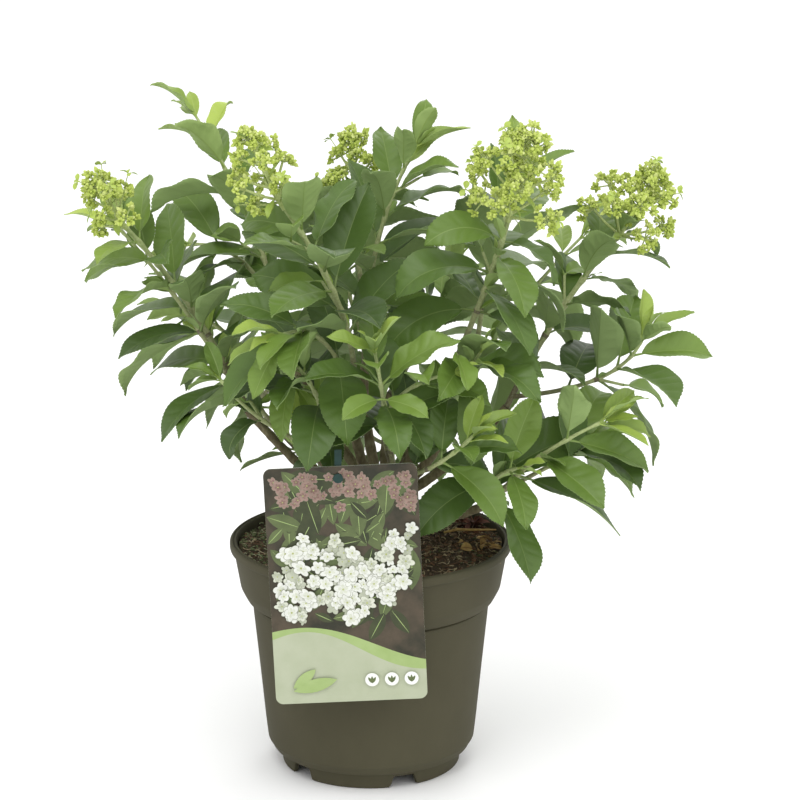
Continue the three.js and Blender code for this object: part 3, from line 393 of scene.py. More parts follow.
class Gathered:
    """Places and triangles gathered for one piece, with a material's number for each triangle."""

    def __init__(self):
        self.places = []
        self.faces = []
        self.paints = []
        self.count = 0

    def add(self, places, faces, paint):
        places = np.asarray(places, dtype=float).reshape(-1, 3)
        faces = np.asarray(faces, dtype=int).reshape(-1, 3)
        self.places.append(places)
        self.faces.append(faces + self.count)
        self.paints.append(np.broadcast_to(paint, len(faces)))
        self.count += len(places)

    def tube(self, centres, radii, sides, paint, relief=None):
        """A closed tube through the centres, in one paint or in one for each step."""
        centres = np.asarray(centres, dtype=float)
        steps = np.gradient(centres, axis=0)
        ahead = steps / np.linalg.norm(steps, axis=1)[:, None]
        side = square_to(ahead[0])[0]
        turns = circle(sides)
        rings = []
        for i, centre in enumerate(centres):
            side = unit(side - ahead[i] * float(side @ ahead[i]))
            other = np.cross(ahead[i], side)
            spread = np.cos(turns)[:, None] * side + np.sin(turns)[:, None] * other
            radius = radii[i] if relief is None else radii[i] + relief[i]
            rings.append(centre + spread * np.reshape(radius, (-1, 1)))
        count = len(centres) * sides
        k = np.arange(sides)
        on = (k + 1) % sides
        low = np.full(sides, count)
        top = count - sides
        faces = [
            grid_faces(len(centres), sides, closed=True),
            np.stack([low, on, k], axis=1),
            np.stack([low + 1, top + k, top + on], axis=1),
        ]
        paints = np.repeat(np.broadcast_to(paint, len(centres) - 1), sides)
        paints = np.concatenate([paints, paints, paints[:sides], paints[-sides:]])
        places = np.concatenate(rings + [centres[:1], centres[-1:]])
        self.add(places, np.concatenate(faces), paints)

    def build(self, name, materials, crease=60 * DEGREE):
        mesh = bpy.data.meshes.new(name)
        places = np.concatenate(self.places) * MM
        faces = np.concatenate(self.faces)
        mesh.vertices.add(len(places))
        mesh.vertices.foreach_set("co", places.ravel())
        mesh.loops.add(faces.size)
        mesh.loops.foreach_set("vertex_index", faces.ravel().astype(np.int32))
        mesh.polygons.add(len(faces))
        mesh.polygons.foreach_set("loop_start", np.arange(0, faces.size, 3, dtype=np.int32))
        mesh.polygons.foreach_set("use_smooth", np.ones(len(faces), dtype=bool))
        for material in materials:
            mesh.materials.append(material)
        paints = np.concatenate(self.paints).astype(np.int32)
        mesh.polygons.foreach_set("material_index", paints)
        mesh.update(calc_edges=True)
        mesh.validate()
        mesh.set_sharp_from_angle(angle=crease)
        return placed(name, mesh)


def grid_faces(rows, columns, closed=False):
    """Triangles of a grid of places that is stored row by row."""
    across = columns if closed else columns - 1
    row, column = np.meshgrid(np.arange(rows - 1), np.arange(across), indexing="ij")
    a = (row * columns + column).ravel()
    b = (row * columns + (column + 1) % columns).ravel()
    c = b + columns
    d = a + columns
    return np.concatenate([np.stack([a, b, c], axis=1), np.stack([a, c, d], axis=1)])


def finish_piece(piece, slot, *nodes):
    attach(piece, "root")
    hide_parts(*nodes)


def plain(name, colour, roughness, specular=0.4):
    """A material of one base colour."""
    material = bpy.data.materials.new(name)
    material.use_nodes = True
    shader = material.node_tree.nodes["Principled BSDF"]
    shader.inputs["Base Color"].default_value = (*colour, 1)
    shader.inputs["Roughness"].default_value = roughness
    shader.inputs["Specular IOR Level"].default_value = specular
    return material


class Paint:
    """A material whose colour and bump come from noise over the piece."""

    def __init__(self, name, roughness, specular=0.4):
        self.material = plain(name, (0.5, 0.5, 0.5), roughness, specular)
        self.tree = self.material.node_tree
        self.shader = self.tree.nodes["Principled BSDF"]
        self.place = self.tree.nodes.new("ShaderNodeTexCoord").outputs["Object"]

    def link(self, output, node, name):
        self.tree.links.new(output, node.inputs[name])

    def node(self, kind, **values):
        node = self.tree.nodes.new("ShaderNode" + kind)
        for name, value in values.items():
            node.inputs[name].default_value = value
        return node

    def noise(self, scale, detail=5, stretch=(1, 1, 1), rough=0.55):
        mapping = self.node("Mapping", Scale=stretch)
        node = self.node("TexNoise", Scale=scale, Detail=detail, Roughness=rough)
        self.link(self.place, mapping, "Vector")
        self.link(mapping.outputs["Vector"], node, "Vector")
        return node.outputs["Fac"]

    def ramp(self, value, *stops):
        node = self.node("ValToRGB")
        ramp = node.color_ramp
        while len(ramp.elements) < len(stops):
            ramp.elements.new(0.5)
        for element, (position, colour) in zip(ramp.elements, stops):
            element.position = position
            element.color = (*colour, 1)
        self.link(value, node, "Fac")
        return node.outputs["Color"]

    def mix(self, share, one, two):
        node = self.node("Mix")
        node.data_type = "RGBA"
        self.link(share, node, "Factor")
        self.link(one, node, "A")
        self.link(two, node, "B")
        return node.outputs["Result"]

    def colour(self, output):
        self.link(output, self.shader, "Base Color")

    def bump(self, height, strength, distance):
        node = self.node("Bump", Strength=strength, Distance=distance)
        self.link(height, node, "Height")
        self.link(node.outputs["Normal"], self.shader, "Normal")


def mottled(name, one, two, scale, roughness, bump=0.4):
    """A material of two near colours, mixed by fine noise that is also its bump."""
    paint = Paint(name, roughness, 0.3)
    value = paint.noise(scale, 5)
    paint.colour(paint.ramp(value, (0.35, one), (0.65, two)))
    paint.bump(value, bump, 0.0003)
    return paint.material


def mottled_all(*rows):
    """Mottled materials, each from a row of its name, two colours, scale, roughness and bump."""
    return [mottled(name, srgb(*one), srgb(*two), *rest) for name, one, two, *rest in rows]


# Leaves. Each leaf takes one tint, which deals out three plain colours: the upper face,
# the paler underside and the rib with its stalk.
LEAF_TINTS = [
    srgb(58, 80, 32), srgb(68, 92, 36), srgb(79, 105, 40), srgb(92, 118, 46),
    srgb(107, 133, 54), srgb(127, 151, 64), srgb(147, 169, 74), srgb(167, 187, 84),
]
UNDER_COLOUR = srgb(162, 184, 124)
RIB_COLOUR = srgb(176, 192, 124)
BLADE_ROWS = 42
SMALL_ROWS = 18
TINY_ROWS = 12
VEIN_ROWS = 6
VEIN_RELIEF = (-0.4, -0.02, 0.1, 0.15, 0.12, 0)
BLADE_HALVES = (-1, -0.7, -0.34, 0, 0, 0.34, 0.7, 1)
BLADE_SLANT = 0.14
BLADE_THICK = 0.35
STALK_HALF = 0.7
TIP_HALF = 0.12
RIB_HALF = 0.34
TOOTH_OUT = 0.38
TOOTH_AHEAD = 0.6
TOOTH_IN = 0.2
YOUNG_NARROW = 0.2
YOUNG_FOLD = 0.22
SAMPLE_SHARES = (0.2, 0.3, 0.4, 0.5, 0.6, 0.7, 0.8, 0.9, 0.99)


def leaf_materials():
    materials = []
    for i, tint in enumerate(LEAF_TINTS):
        under = mixed(tint, UNDER_COLOUR, 0.55)
        rib = mixed(tint, RIB_COLOUR, 0.22)
        materials.append(veined("leaf_upper_%d" % i, tint, 0.46, 0.4))
        materials.append(veined("leaf_under_%d" % i, under, 0.7, 0.25))
        materials.append(veined("leaf_rib_%d" % i, rib, 0.55, 0.4))
    return materials


def veined(name, colour, roughness, specular):
    """A leaf's plain colour with the fine net of its veins as a bump."""
    paint = Paint(name, roughness, specular)
    paint.shader.inputs["Base Color"].default_value = (*colour, 1)
    paint.bump(paint.noise(520, 4), 0.3, 0.0004)
    return paint.material


def blade_half(v):
    """Half the blade's width at shares v of its length, as a share of the widest."""
    drawn = 1 - 0.35 * np.exp(-(((v - 0.92) / 0.12) ** 2))
    return np.sin(pi * v**0.72) ** 0.9 * (1 - 0.12 * v) * drawn


def fine_leaf(gathered, leaf, tint, draws, rows=BLADE_ROWS, young=0):
    """A leaf with its folded, veined, toothed and slightly twisted blade, and its stalk."""
    number = np.arange(rows + 1)
    row = number / rows
    halves = np.array(BLADE_HALVES)
    away = np.abs(halves)
    columns = len(halves)
    left_rib = columns // 2 - 1
    v = row[:, None] + BLADE_SLANT * away[None, :] ** 0.85 * 4 * (row * (1 - row))[:, None]
    wide = leaf.width * 0.5 * blade_half(row) * (1 - YOUNG_NARROW * young)
    wide[0] = STALK_HALF
    wide[-1] = TIP_HALF
    rib = np.minimum(RIB_HALF * (1 - 0.6 * row), wide * 0.5)
    across = wide[:, None] * halves[None, :]
    across[:, left_rib] = -rib
    across[:, left_rib + 1] = rib
    size = min(1, leaf.length / 60)
    wave = draws.pick(0.5, 1.9) * size
    phase = draws.pick(0, 2 * pi)
    beats = draws.pick(1.3, 2.6)
    skew = draws.spread(0.9)
    fold = LEAF_FOLD + draws.pick(-0.06, 0.3) + YOUNG_FOLD * young
    twist = draws.spread(0.4)
    sway = draws.spread(3.4) * size
    curl = draws.pick(0, 5.5) * size
    lift = fold * np.abs(across)
    lift += wave * away**2 * np.sin(2 * pi * beats * v + phase + np.sign(halves) * skew)
    lift -= curl * np.clip(v - 0.55, 0, 1) ** 2 / 0.2
    pattern = np.array(VEIN_RELIEF)[number % VEIN_ROWS]
    pattern[0] = pattern[-1] = 0
    lift += pattern[:, None] * np.sin(pi * away) ** 0.5 * size
    lift[:, left_rib:left_rib + 2] -= 0.3 * size
    odd = number % 2 == 1
    teeth = np.where(odd, TOOTH_OUT, -TOOTH_IN) * size * np.sin(pi * row) ** 0.3
    across[:, 0] -= teeth
    across[:, -1] += teeth
    slide = np.where(odd, TOOTH_AHEAD, 0) * size / leaf.length * (row < 1)
    v[:, 0] += slide
    v[:, -1] += slide
    start = PETIOLE_END * 0.92
    v = v.ravel()
    place, side, up = leaf.station(start + (1 - start) * v)
    turned = (twist * v**1.3)[:, None]
    aside = (across.ravel() + sway * v**2)[:, None]
    twisted_up = up * np.cos(turned) - side * np.sin(turned)
    side = side * np.cos(turned) + up * np.sin(turned)
    top = place + side * aside + twisted_up * lift.ravel()[:, None]
    under = top - twisted_up * BLADE_THICK * size
    top_faces = grid_faces(rows + 1, columns)[:, ::-1]
    cells = np.arange(rows * (columns - 1)) % (columns - 1)
    is_rib = np.tile(cells == left_rib, 2)
    count = len(top)
    rim = np.concatenate([
        np.arange(0, columns),
        np.arange(1, rows + 1) * columns + columns - 1,
        np.arange(columns - 2, -1, -1) + rows * columns,
        np.arange(rows - 1, 0, -1) * columns,
    ])
    on = np.roll(rim, -1)
    faces = [
        top_faces,
        top_faces[:, ::-1] + count,
        np.stack([on + count, rim + count, rim], axis=1),
        np.stack([on, on + count, rim], axis=1),
    ]
    paints = [
        np.where(is_rib, tint * 3 + 2, tint * 3),
        np.where(is_rib, tint * 3 + 2, tint * 3 + 1),
        np.full(2 * len(rim), tint * 3 + 1),
    ]
    gathered.add(np.concatenate([top, under]), np.concatenate(faces), np.concatenate(paints))
    stalk = leaf.station(np.linspace(0, start + 0.02, 5))[0]
    thick = min(1.15, 0.35 + leaf.length / 90)
    gathered.tube(stalk, thick * np.array([1.25, 0.95, 0.8, 0.75, 0.55]), 6, tint * 3 + 2)


def leaf_samples(leaf, start=0):
    """Places all over a leaf, from the sample share numbered start on."""
    place, side, _ = leaf.station(SAMPLE_SHARES[start:])
    half = leaf.width * 0.45
    return np.concatenate([place + side * half * k for k in (-0.9, -0.45, 0, 0.45, 0.9)])


def tint_for(shoot, q, draws, shade):
    """Young leaves near a shoot's tip are lime, older ones below darken."""
    value = 1.4 + (3.6 * q**2.2 if shoot.head == "tip" else 1.9 * q**2)
    # shade is the mass's painted light and shade, in tints, added to the leaf's own tint.
    value += shade + draws.spread(1.2)
    return int(min(len(LEAF_TINTS) - 1, max(0, round(value))))


# Stems, boughs and their wood. The part's limbs have four or six sides, and a round one of the
# same girth has this share of their radius.
STEM_ROUND = 0.82
BOUGH_ROUND = 0.91
STEM_SIDES = 10
STEM_STEPS = 56
NODE_SWELL = 0.42
NODE_REACH = 2.6
NODE_HALF = 1.1
NODE_DARK_BELOW = 0.5
OLD_STEM = srgb(110, 104, 74)
MIDDLE_STEM = srgb(150, 156, 106)
YOUNG_STEM = srgb(164, 178, 116)
HEAD_STEM = srgb(182, 196, 122)
DARK_NODE = srgb(104, 98, 70)
STEM_MIDDLE = 0.34
STEM_SHADES = 7
NODE_PAINT = STEM_SHADES
HEAD_PAINT = STEM_SHADES + 1
CROWN_SIDES = 40
CROWN_STEPS = 36
BOUGH_SIDES = 14
BOUGH_STEPS = 46


def stem_materials():
    """Shades from old and brown to young and green, then the dark node's and the head's."""
    shades = []
    for i in range(STEM_SHADES):
        share = i / (STEM_SHADES - 1)
        if share < STEM_MIDDLE:
            shades.append(mixed(OLD_STEM, MIDDLE_STEM, share / STEM_MIDDLE))
        else:
            shades.append(mixed(MIDDLE_STEM, YOUNG_STEM, (share - STEM_MIDDLE) / (1 - STEM_MIDDLE)))
    return [
        mottled("stem_%d" % i, mixed(shade, (0, 0, 0), 0.22), mixed(shade, (1, 1, 1), 0.05), 700, 0.6)
        for i, shade in enumerate(shades + [DARK_NODE, HEAD_STEM])
    ]


def grow_stem(gathered, shoot, line, start_radius, end_radius):
    """A green stem with swollen nodes, its lower part older and browner, its old nodes dark."""
    s = np.linspace(0, 1, STEM_STEPS + 1)
    radii = STEM_ROUND * (start_radius + (end_radius - start_radius) * s)
    middles = (s[1:] + s[:-1]) / 2
    paints = np.floor(middles * (STEM_SHADES - 0.01)).astype(int)
    for pair in range(shoot.pairs):
        share = pair_of(shoot, pair).share
        apart = (s - share) * line.length / NODE_REACH
        radii = radii * (1 + NODE_SWELL * np.exp(-apart * apart))
        at_node = np.abs(middles - share) * line.length < NODE_HALF
        paints[at_node & (middles < NODE_DARK_BELOW)] = NODE_PAINT
    gathered.tube([line.at(share) for share in s], radii, STEM_SIDES, paints)


def grow_wood(gathered, line, radius_at, sides, steps, depth, seed):
    """A woody limb with lengthwise ridges, rings at its nodes and small hollows."""
    s = np.linspace(0, 1, steps + 1)
    relief = np.zeros((steps + 1, sides))
    for i, share in enumerate(s):
        along = share * line.length
        ring = 0.35 * exp(-(((along + seed * 7) % 17 - 8.5) / 1.3) ** 2)
        for k, turn in enumerate(circle(sides)):
            x = cos(turn)
            y = sin(turn)
            ridge = noise.noise(Vector((x * 2.2, y * 2.2, along * 0.09 + seed)))
            pit = noise.noise(Vector((x * 3, y * 3, along * 0.55 + seed)))
            relief[i, k] = depth * (ridge + 0.5 * pit) + ring
    relief[0] = relief[-1] = 0
    radii = [radius_at(share) for share in s]
    gathered.tube([line.at(share) for share in s], radii, sides, 0, relief)


def crown_radius(s):
    if s > NECK_SHARE:
        return CROWN_NECK + (CROWN_TOP_RADIUS - CROWN_NECK) * (s - NECK_SHARE) / (1 - NECK_SHARE)
    return CROWN_FLARE - (CROWN_FLARE - CROWN_NECK) * sqrt(max(0, s) / NECK_SHARE)


def dome_radius(s):
    return CROWN_TOP_RADIUS * sqrt(max(0.02, 1 - s * s))


def bough_radius(s):
    return BOUGH_ROUND * (BOUGH_ROOT_RADIUS + (BOUGH_TIP_RADIUS - BOUGH_ROOT_RADIUS) * s)


def make_wood():
    bark = Paint("bark", 0.85, 0.2)
    broad = bark.noise(60, 6, (1, 1, 0.35))
    fine = bark.noise(420, 5, (1, 1, 0.3))
    worn = bark.ramp(
        broad, (0.3, srgb(78, 70, 52)), (0.55, srgb(114, 106, 80)), (0.75, srgb(142, 136, 104)),
    )
    flecks = bark.ramp(fine, (0.35, srgb(62, 54, 40)), (0.7, srgb(148, 140, 110)))
    bark.colour(bark.mix(bark.ramp(broad, (0.4, (0.2,) * 3), (0.6, (0.55,) * 3)), worn, flecks))
    bark.bump(fine, 0.7, 0.0006)
    wood = Gathered()
    crown = Line(CROWN_BASE, CROWN_TOP)
    grow_wood(wood, crown, crown_radius, CROWN_SIDES, CROWN_STEPS, 1.1, 3)
    top = Line(CROWN_TOP, np.array(CROWN_TOP) + vec(0.5, 0, 5))
    grow_wood(wood, top, dome_radius, CROWN_SIDES, 8, 0.8, 3)
    for index, mass in enumerate(MASSES):
        line = Line(crown.at(mass.crown_share), mass.tip, mass.bow)
        grow_wood(wood, line, bough_radius, BOUGH_SIDES, BOUGH_STEPS, 0.55, index + 1)
    boughs = ["bough_" + mass.name for mass in MASSES]
    finish_piece(wood.build("wood", [bark.material]), "bark", "root_crown", *boughs)


# Flower heads: knobbly clusters of buds and bracts on short rays, with a few green florets.
# The functions that grow one take its stalks, buds, leaves, bud shape and draws as head.
BUD_TINTS = [srgb(166, 184, 80), srgb(180, 197, 92), srgb(193, 207, 110), srgb(206, 216, 134)]
BUD_RADIUS = 1.02
RAYS = 9
BUDS_ON_RAY = 13
KNOB_RADIUS = 3
RAY_RADIUS = 0.5
BUD_STALK_RADIUS = 0.26
RAY_SPREAD = 100 * DEGREE
BUD_SPREAD = 115 * DEGREE
BRACT_CHANCE = 0.36
HEAD_LEAF_CHANCE = 0.75
FLORET_CHANCE = 0.5
OPEN_BELOW = 12
OPEN_RAYS = 6


def bud_shape():
    mesh = bmesh.new()
    bmesh.ops.create_icosphere(mesh, subdivisions=1, radius=1)
    places = np.array([list(v.co) for v in mesh.verts])
    faces = np.array([[v.index for v in f.verts] for f in mesh.faces])
    mesh.free()
    return places, faces


def sphere_turns(count, widest):
    """Directions spread evenly over a cap of the sphere, as (tilt, turn)."""
    return [
        (acos(1 - (1 - cos(widest)) * (i + 0.5) / count), i * GOLDEN_TURN)
        for i in range(count)
    ]


def grow_knob(head, end, ray, light):
    """A dome of close buds on the end of a ray; light raises their tints, a painted light from above.
    """
    draws = head.draws
    for tilt, turn in sphere_turns(BUDS_ON_RAY, BUD_SPREAD):
        way = leaning(ray, turn + draws.spread(0.5), tilt + draws.spread(0.25))[1]
        size = BUD_RADIUS * draws.pick(0.62, 1.3)
        place = end + way * draws.pick(0.4, 1) * KNOB_RADIUS
        head.stalks.tube([end, place], [BUD_STALK_RADIUS] * 2, 3, HEAD_PAINT)
        side, other = square_to(way)
        shape = [side, other, way * 1.15]
        if draws.next() < BRACT_CHANCE:
            shape = [side * 1.3, other * 0.35, way * draws.pick(1.7, 3)]
        # Painted light: buds on rays that point higher take lighter tints.
        tint = min(len(BUD_TINTS) - 1, int(draws.pick(0, 2.4) + light))
        head.buds.add(place + head.bud[0] @ np.stack(shape) * size, head.bud[1], tint)


def grow_cyme(head, centre, foot, radius, rays=RAYS, near=0.8, far=1.25):
    """One cluster: a twig that parts in rays, each with a knob of buds."""
    draws = head.draws
    axis = unit(centre - foot + vec(0, 0, 4))
    heart = centre - axis * radius * 0.5
    sag = (foot + heart) / 2 + vec(0, 0, -1)
    head.stalks.tube([foot, sag, heart], [1.05, 0.85, 0.8], 6, HEAD_PAINT)
    for tilt, turn in sphere_turns(rays, RAY_SPREAD):
        ray = leaning(axis, turn + draws.spread(0.4), tilt + draws.spread(0.2))[1]
        reach = radius * draws.pick(near, far)
        end = heart + ray * reach
        head.stalks.tube([heart, heart + ray * reach * 0.5, end], [RAY_RADIUS] * 3, 4, HEAD_PAINT)
        # Painted light from above: the higher the ray points, the lighter its buds.
        grow_knob(head, end, ray, 0.7 + 0.6 * ray[2])


def small_blade(head, root, direction, turn, angle, length, share, tint):
    roll = head.draws.spread(0.5)
    leaf = Leaf(root, direction, turn, angle * DEGREE, length, length * share, 20 * DEGREE, roll)
    fine_leaf(head.leaves, leaf, tint, head.draws, 6)


def grow_floret(head, centre, axis, reach):
    """A floret with four green lobes, held out of its cluster."""
    spot = centre + axis * reach
    start = head.draws.pick(0, 1.5)
    head.stalks.tube([centre, spot], [0.35, 0.3], 4, HEAD_PAINT)
    for lobe in range(4):
        length = head.draws.pick(4.5, 6.5)
        small_blade(head, spot, axis, start + lobe * pi / 2, 70, length, 0.72, 7)


def grow_head(head, shoot, line, seed):
    clusters, upward, top = head_of(shoot, line, seed)
    draws = head.draws
    base = line.end
    path = [line.at(0.97), base, (base + top) / 2, top]
    head.stalks.tube(path, [2.1, 1.9, 1.3, 0.7], 8, HEAD_PAINT)
    is_open = shoot.clusters < OPEN_BELOW
    form = (OPEN_RAYS, 0.5, 0.85) if is_open else ()
    for centre, foot, radius in clusters:
        grow_cyme(head, centre, foot, radius, *form)
        axis = unit(centre - foot)
        if draws.next() < HEAD_LEAF_CHANCE:
            turn = draws.pick(0, 6)
            small_blade(head, foot + axis * 3, axis, turn, 60, draws.pick(9, 17), 0.32, 6)
        if draws.next() < FLORET_CHANCE:
            grow_floret(head, centre, axis, radius * 1.1)
    inner = 1 if is_open else shoot.clusters // 3
    for k in range(inner):
        share = (k + 1) / inner
        foot = base + (top - base) * share * 0.85
        way = leaning(upward, k * GOLDEN_TURN + 1, 0.5 * (1.2 - share))[1]
        grow_cyme(head, foot + way * 10, foot, CLUSTER_RADIUS, RAYS - 2)


# Painted light and shade: how many tints the leaves of some masses are lighter than the rest, or darker
# below zero.
MASS_PAINTED_LIGHT = {"left": 0.6, "upper_left": 0.8, "centre": 0.3, "front_left": -1.4}
TWIG_TINT = 4
YOUNG_TINT = 5
AXIL_CHANCE = 0.34
SETTLED_WITHIN = 0.7
LEAF_GROUPS = [
    ("leaves_left", ("left", "upper_left", "centre_left", "low_left")),
    ("leaves_middle", ("centre", "front", "front_left")),
    ("leaves_right", ("right_centre", "right", "low_right")),
    ("leaves_back", ("back_right", "back", "back_left", "low_back")),
]


def tree_of(places):
    tree = KDTree(len(places))
    for i, place in enumerate(places):
        tree.insert(Vector(place), i)
    tree.balance()
    return tree


def is_settled(tree, leaf):
    return tree.find(Vector(leaf.tip()))[2] < SETTLED_WITHIN


def grow_leaves(leaves, shoot, line, seed, tree, shade):
    """The shoot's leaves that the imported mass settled, and places all over each of them."""
    samples = []
    for pair, side in product(range(shoot.pairs), (0, 1)):
        draws = Draws(seed + pair * 2 + side)
        shades = Draws(seed + 700 + pair * 2 + side)
        for _ in range(LEAF_TRIES):
            leaf = pair_leaf(shoot, line, pair, side, draws)
            if is_settled(tree, leaf):
                q = pair_of(shoot, pair).q
                # shade carries the mass's painted light and shade into the leaf's tint.
                tint = tint_for(shoot, q, shades, shade)
                young = q**2.2 if shoot.head == "tip" else 0
                fine_leaf(leaves, leaf, tint, shades, BLADE_ROWS, young)
                samples.append(leaf_samples(leaf))
                break
    return samples


def grow_twigs(stems, leaves, shoot, line, seed, tree):
    """Side twigs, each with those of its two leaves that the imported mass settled."""
    samples = []
    for pair, side in product(range(1, shoot.pairs - 1), (0, 1)):
        draws = Draws(seed + 500 + pair * 2 + side)
        twig = side_twig(shoot, line, pair, side, draws)
        if not twig:
            continue
        pair_leaves = [twig_leaf(shoot, twig, k, draws) for k in (0, 1)]
        kept = [leaf for leaf in pair_leaves if is_settled(tree, leaf)]
        for leaf in kept:
            fine_leaf(leaves, leaf, TWIG_TINT, draws, SMALL_ROWS)
            samples.append(leaf_samples(leaf))
        if kept:
            stems.tube([twig[0].at(s) for s in (0, 0.5, 1)], [1.2, 1, 0.95], 6, STEM_SHADES - 2)
    return samples


def grow_plant():
    stems = Gathered()
    buds = Gathered()
    gathered = {name: Gathered() for name, _ in LEAF_GROUPS}
    group = {mass: name for name, members in LEAF_GROUPS for mass in members}
    bud = bud_shape()
    grown = []
    samples = []
    for index, mass in enumerate(MASSES):
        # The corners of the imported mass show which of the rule's leaves it settled.
        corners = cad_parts["foliage_" + mass.name].data.vertices
        tree = tree_of([corner.co / MM for corner in corners])
        leaves = gathered[group[mass.name]]
        # The mass's painted light and shade, in tints.
        shade = MASS_PAINTED_LIGHT.get(mass.name, 0)
        main = None
        for number, shoot in enumerate(mass.shoots):
            line = Line(main.at(shoot.fork) if main else mass.tip, shoot.end, shoot.bow)
            seed = SEED * 100000 + index * 9700 + number * 1300 + shoot.seed * 17
            panicle = shoot.head == "panicle"
            root_radius = STEM_SIDE_RADIUS if main else STEM_MAIN_RADIUS
            end_radius = HEAD_STEM_RADIUS if panicle else STEM_END_RADIUS
            grow_stem(stems, shoot, line, root_radius, end_radius)
            samples += grow_leaves(leaves, shoot, line, seed, tree, shade)
            samples += grow_twigs(stems, leaves, shoot, line, seed, tree)
            if panicle:
                draws = Draws(seed + 1300)
                head = Facts(stalks=stems, buds=buds, leaves=leaves, bud=bud, draws=draws)
                grow_head(head, shoot, line, seed)
            # Tip leaves take only the mass's painted shade, none of its painted light.
            grown.append((shoot, line, seed, leaves, min(0, round(shade))))
            main = main or line
    print("leaves settled", len(samples))
    places = tree_of(np.concatenate(samples))
    for shoot, line, seed, leaves, painted_shade in grown:
        draws = Draws(seed + 1700)
        if shoot.head != "panicle":
            grow_tip(leaves, shoot, line, places, draws, YOUNG_TINT + painted_shade)
        grow_axils(leaves, shoot, line, places, draws)
    masses = ["foliage_" + mass.name for mass in MASSES]
    materials = leaf_materials()
    for name, members in LEAF_GROUPS:
        piece = gathered[name].build(name, materials, 80 * DEGREE)
        finish_piece(piece, "foliage", *["foliage_" + mass for mass in members])
    finish_piece(stems.build("stems", stem_materials()), "foliage", *masses)
    bud_paints = [
        mottled("bud_%d" % i, mixed(tint, (0, 0, 0), 0.12), tint, 900, 0.55, 0.2)
        for i, tint in enumerate(BUD_TINTS)
    ]
    finish_piece(buds.build("buds", bud_paints), "foliage", *masses)


def is_near(tree, leaf, gap, start):
    return any(tree.find(Vector(spot))[2] < gap for spot in leaf_samples(leaf, start))


def grow_tip(leaves, shoot, line, places, draws, tint):
    """Two folded young pairs at a shoot's tip, the outer one where there is room."""
    for step, (share, opening, bend) in enumerate(((0.5, 30, 26), (0.32, 13, 10))):
        for side in (0, 1):
            turn = pair_turn(shoot, shoot.pairs) + pi * side + step * pi / 2
            turn += draws.spread(0.2)
            angle = (opening + draws.spread(6)) * DEGREE
            longest = shoot.leaf * share
            length = longest * (1 + draws.spread(0.15))
            leaf = Leaf(
                line.end, line.direction(1), turn, angle, length, longest * 0.43, bend * DEGREE,
                draws.spread(0.3),
            )
            if step or not is_near(places, leaf, 2.2, 3):
                fine_leaf(leaves, leaf, tint + step, draws, SMALL_ROWS, 0.8)


def grow_axils(leaves, shoot, line, places, draws):
    """Two small leaves in some of the axils, where there is room."""
    for pair, side in product(range(shoot.pairs), (0, 1)):
        if draws.next() > AXIL_CHANCE:
            continue
        share = pair_of(shoot, pair).share
        middle = pair_turn(shoot, pair, side) + draws.spread(0.5)
        for across in (-1, 1):
            length = draws.pick(13, 27)
            turn = middle + across * draws.pick(0.25, 0.6)
            angle = draws.pick(24, 44) * DEGREE
            width = length * draws.pick(0.32, 0.42)
            bend = draws.pick(10, 34) * DEGREE
            roll = draws.spread(0.5)
            root = line.at(share)
            leaf = Leaf(root, line.direction(share), turn, angle, length, width, bend, roll)
            if not is_near(places, leaf, 2.6, 2):
                fine_leaf(leaves, leaf, int(draws.pick(3, 6)), draws, TINY_ROWS)


# The pot, turned from a rounded profile of [radius, height] points.
POT_SIDES = 300
POT_CORNER = 0.9
POT_PROFILE = [
    (0.01, 0), (16, 0), (17, 12), (58, 12), (58, 0), (61, 0), (62.5, 12), (67.5, 12),
    (69.5, 16), (71, 18), (72.5, 31), (76.7, 74), (81, 116), (79.9, 116.6), (79.9, 118),
    (84.4, 118.6), (86.8, 123), (88.8, 127), (91.2, 140.5), (93, 151), (93.2, 152.2),
    (95.6, 153), (96, 154.4), (96, 157.6), (95.2, 158.7), (94, 159), (93.4, 158.2),
    (92.8, 158.2), (92, 159), (91, 158), (90.4, 153.6), (86.8, 127), (79, 115.5),
    (70.5, 31), (67.5, 16.6), (64.5, 14.6), (0.01, 14.6),
]
FOOT_INSIDE = 57.5
FOOT_RADIUS = 61
FOOT_OUTSIDE = 63
NOTCHES = 5
FIRST_NOTCH = (22 - 90) * DEGREE
NOTCH_HEIGHT = 8
NOTCH_TOP_HALF = 7.5
NOTCH_FOOT_HALF = 10
DRAIN_RADIUS = 5
DRAIN_RING = 46
DRAIN_SIDES = 40
DRAIN_HEIGHT = 13.3
DRILL_LENGTH = 8
BAND_BOTTOM = 127
BAND_TOP = 158
BAND_INSIDE_LOW = 86.8
BAND_INSIDE_HIGH = 91
SOIL_TOP = 157.6
SOIL_FLAT = 30
SOIL_REACH = 93
SOIL_DROP = 4.5
SOIL_WAVE = 1.6
SOIL_CRUMBS = 1.8


def rounded(profile, corner):
    """The profile with every corner replaced by a short curve."""
    profile = [vec(*point) for point in profile]
    points = profile[:1]
    for before, here, after in zip(profile, profile[1:], profile[2:]):
        back = before - here
        on = after - here
        reach = min(corner, 0.45 * np.linalg.norm(back), 0.45 * np.linalg.norm(on))
        one = here + unit(back) * reach
        two = here + unit(on) * reach
        for s in (0, 0.33, 0.67, 1):
            points.append(one * (1 - s) ** 2 + here * 2 * s * (1 - s) + two * s * s)
    return points + profile[-1:]


def around(radius, turns):
    return [(radius * cos(turn), radius * sin(turn)) for turn in turns]


def notch_height(turn):
    step = 2 * pi / NOTCHES
    away = abs((turn - FIRST_NOTCH + step / 2) % step - step / 2) * FOOT_RADIUS
    rise = (NOTCH_FOOT_HALF - away) / (NOTCH_FOOT_HALF - NOTCH_TOP_HALF)
    return NOTCH_HEIGHT * min(1, max(0, rise))


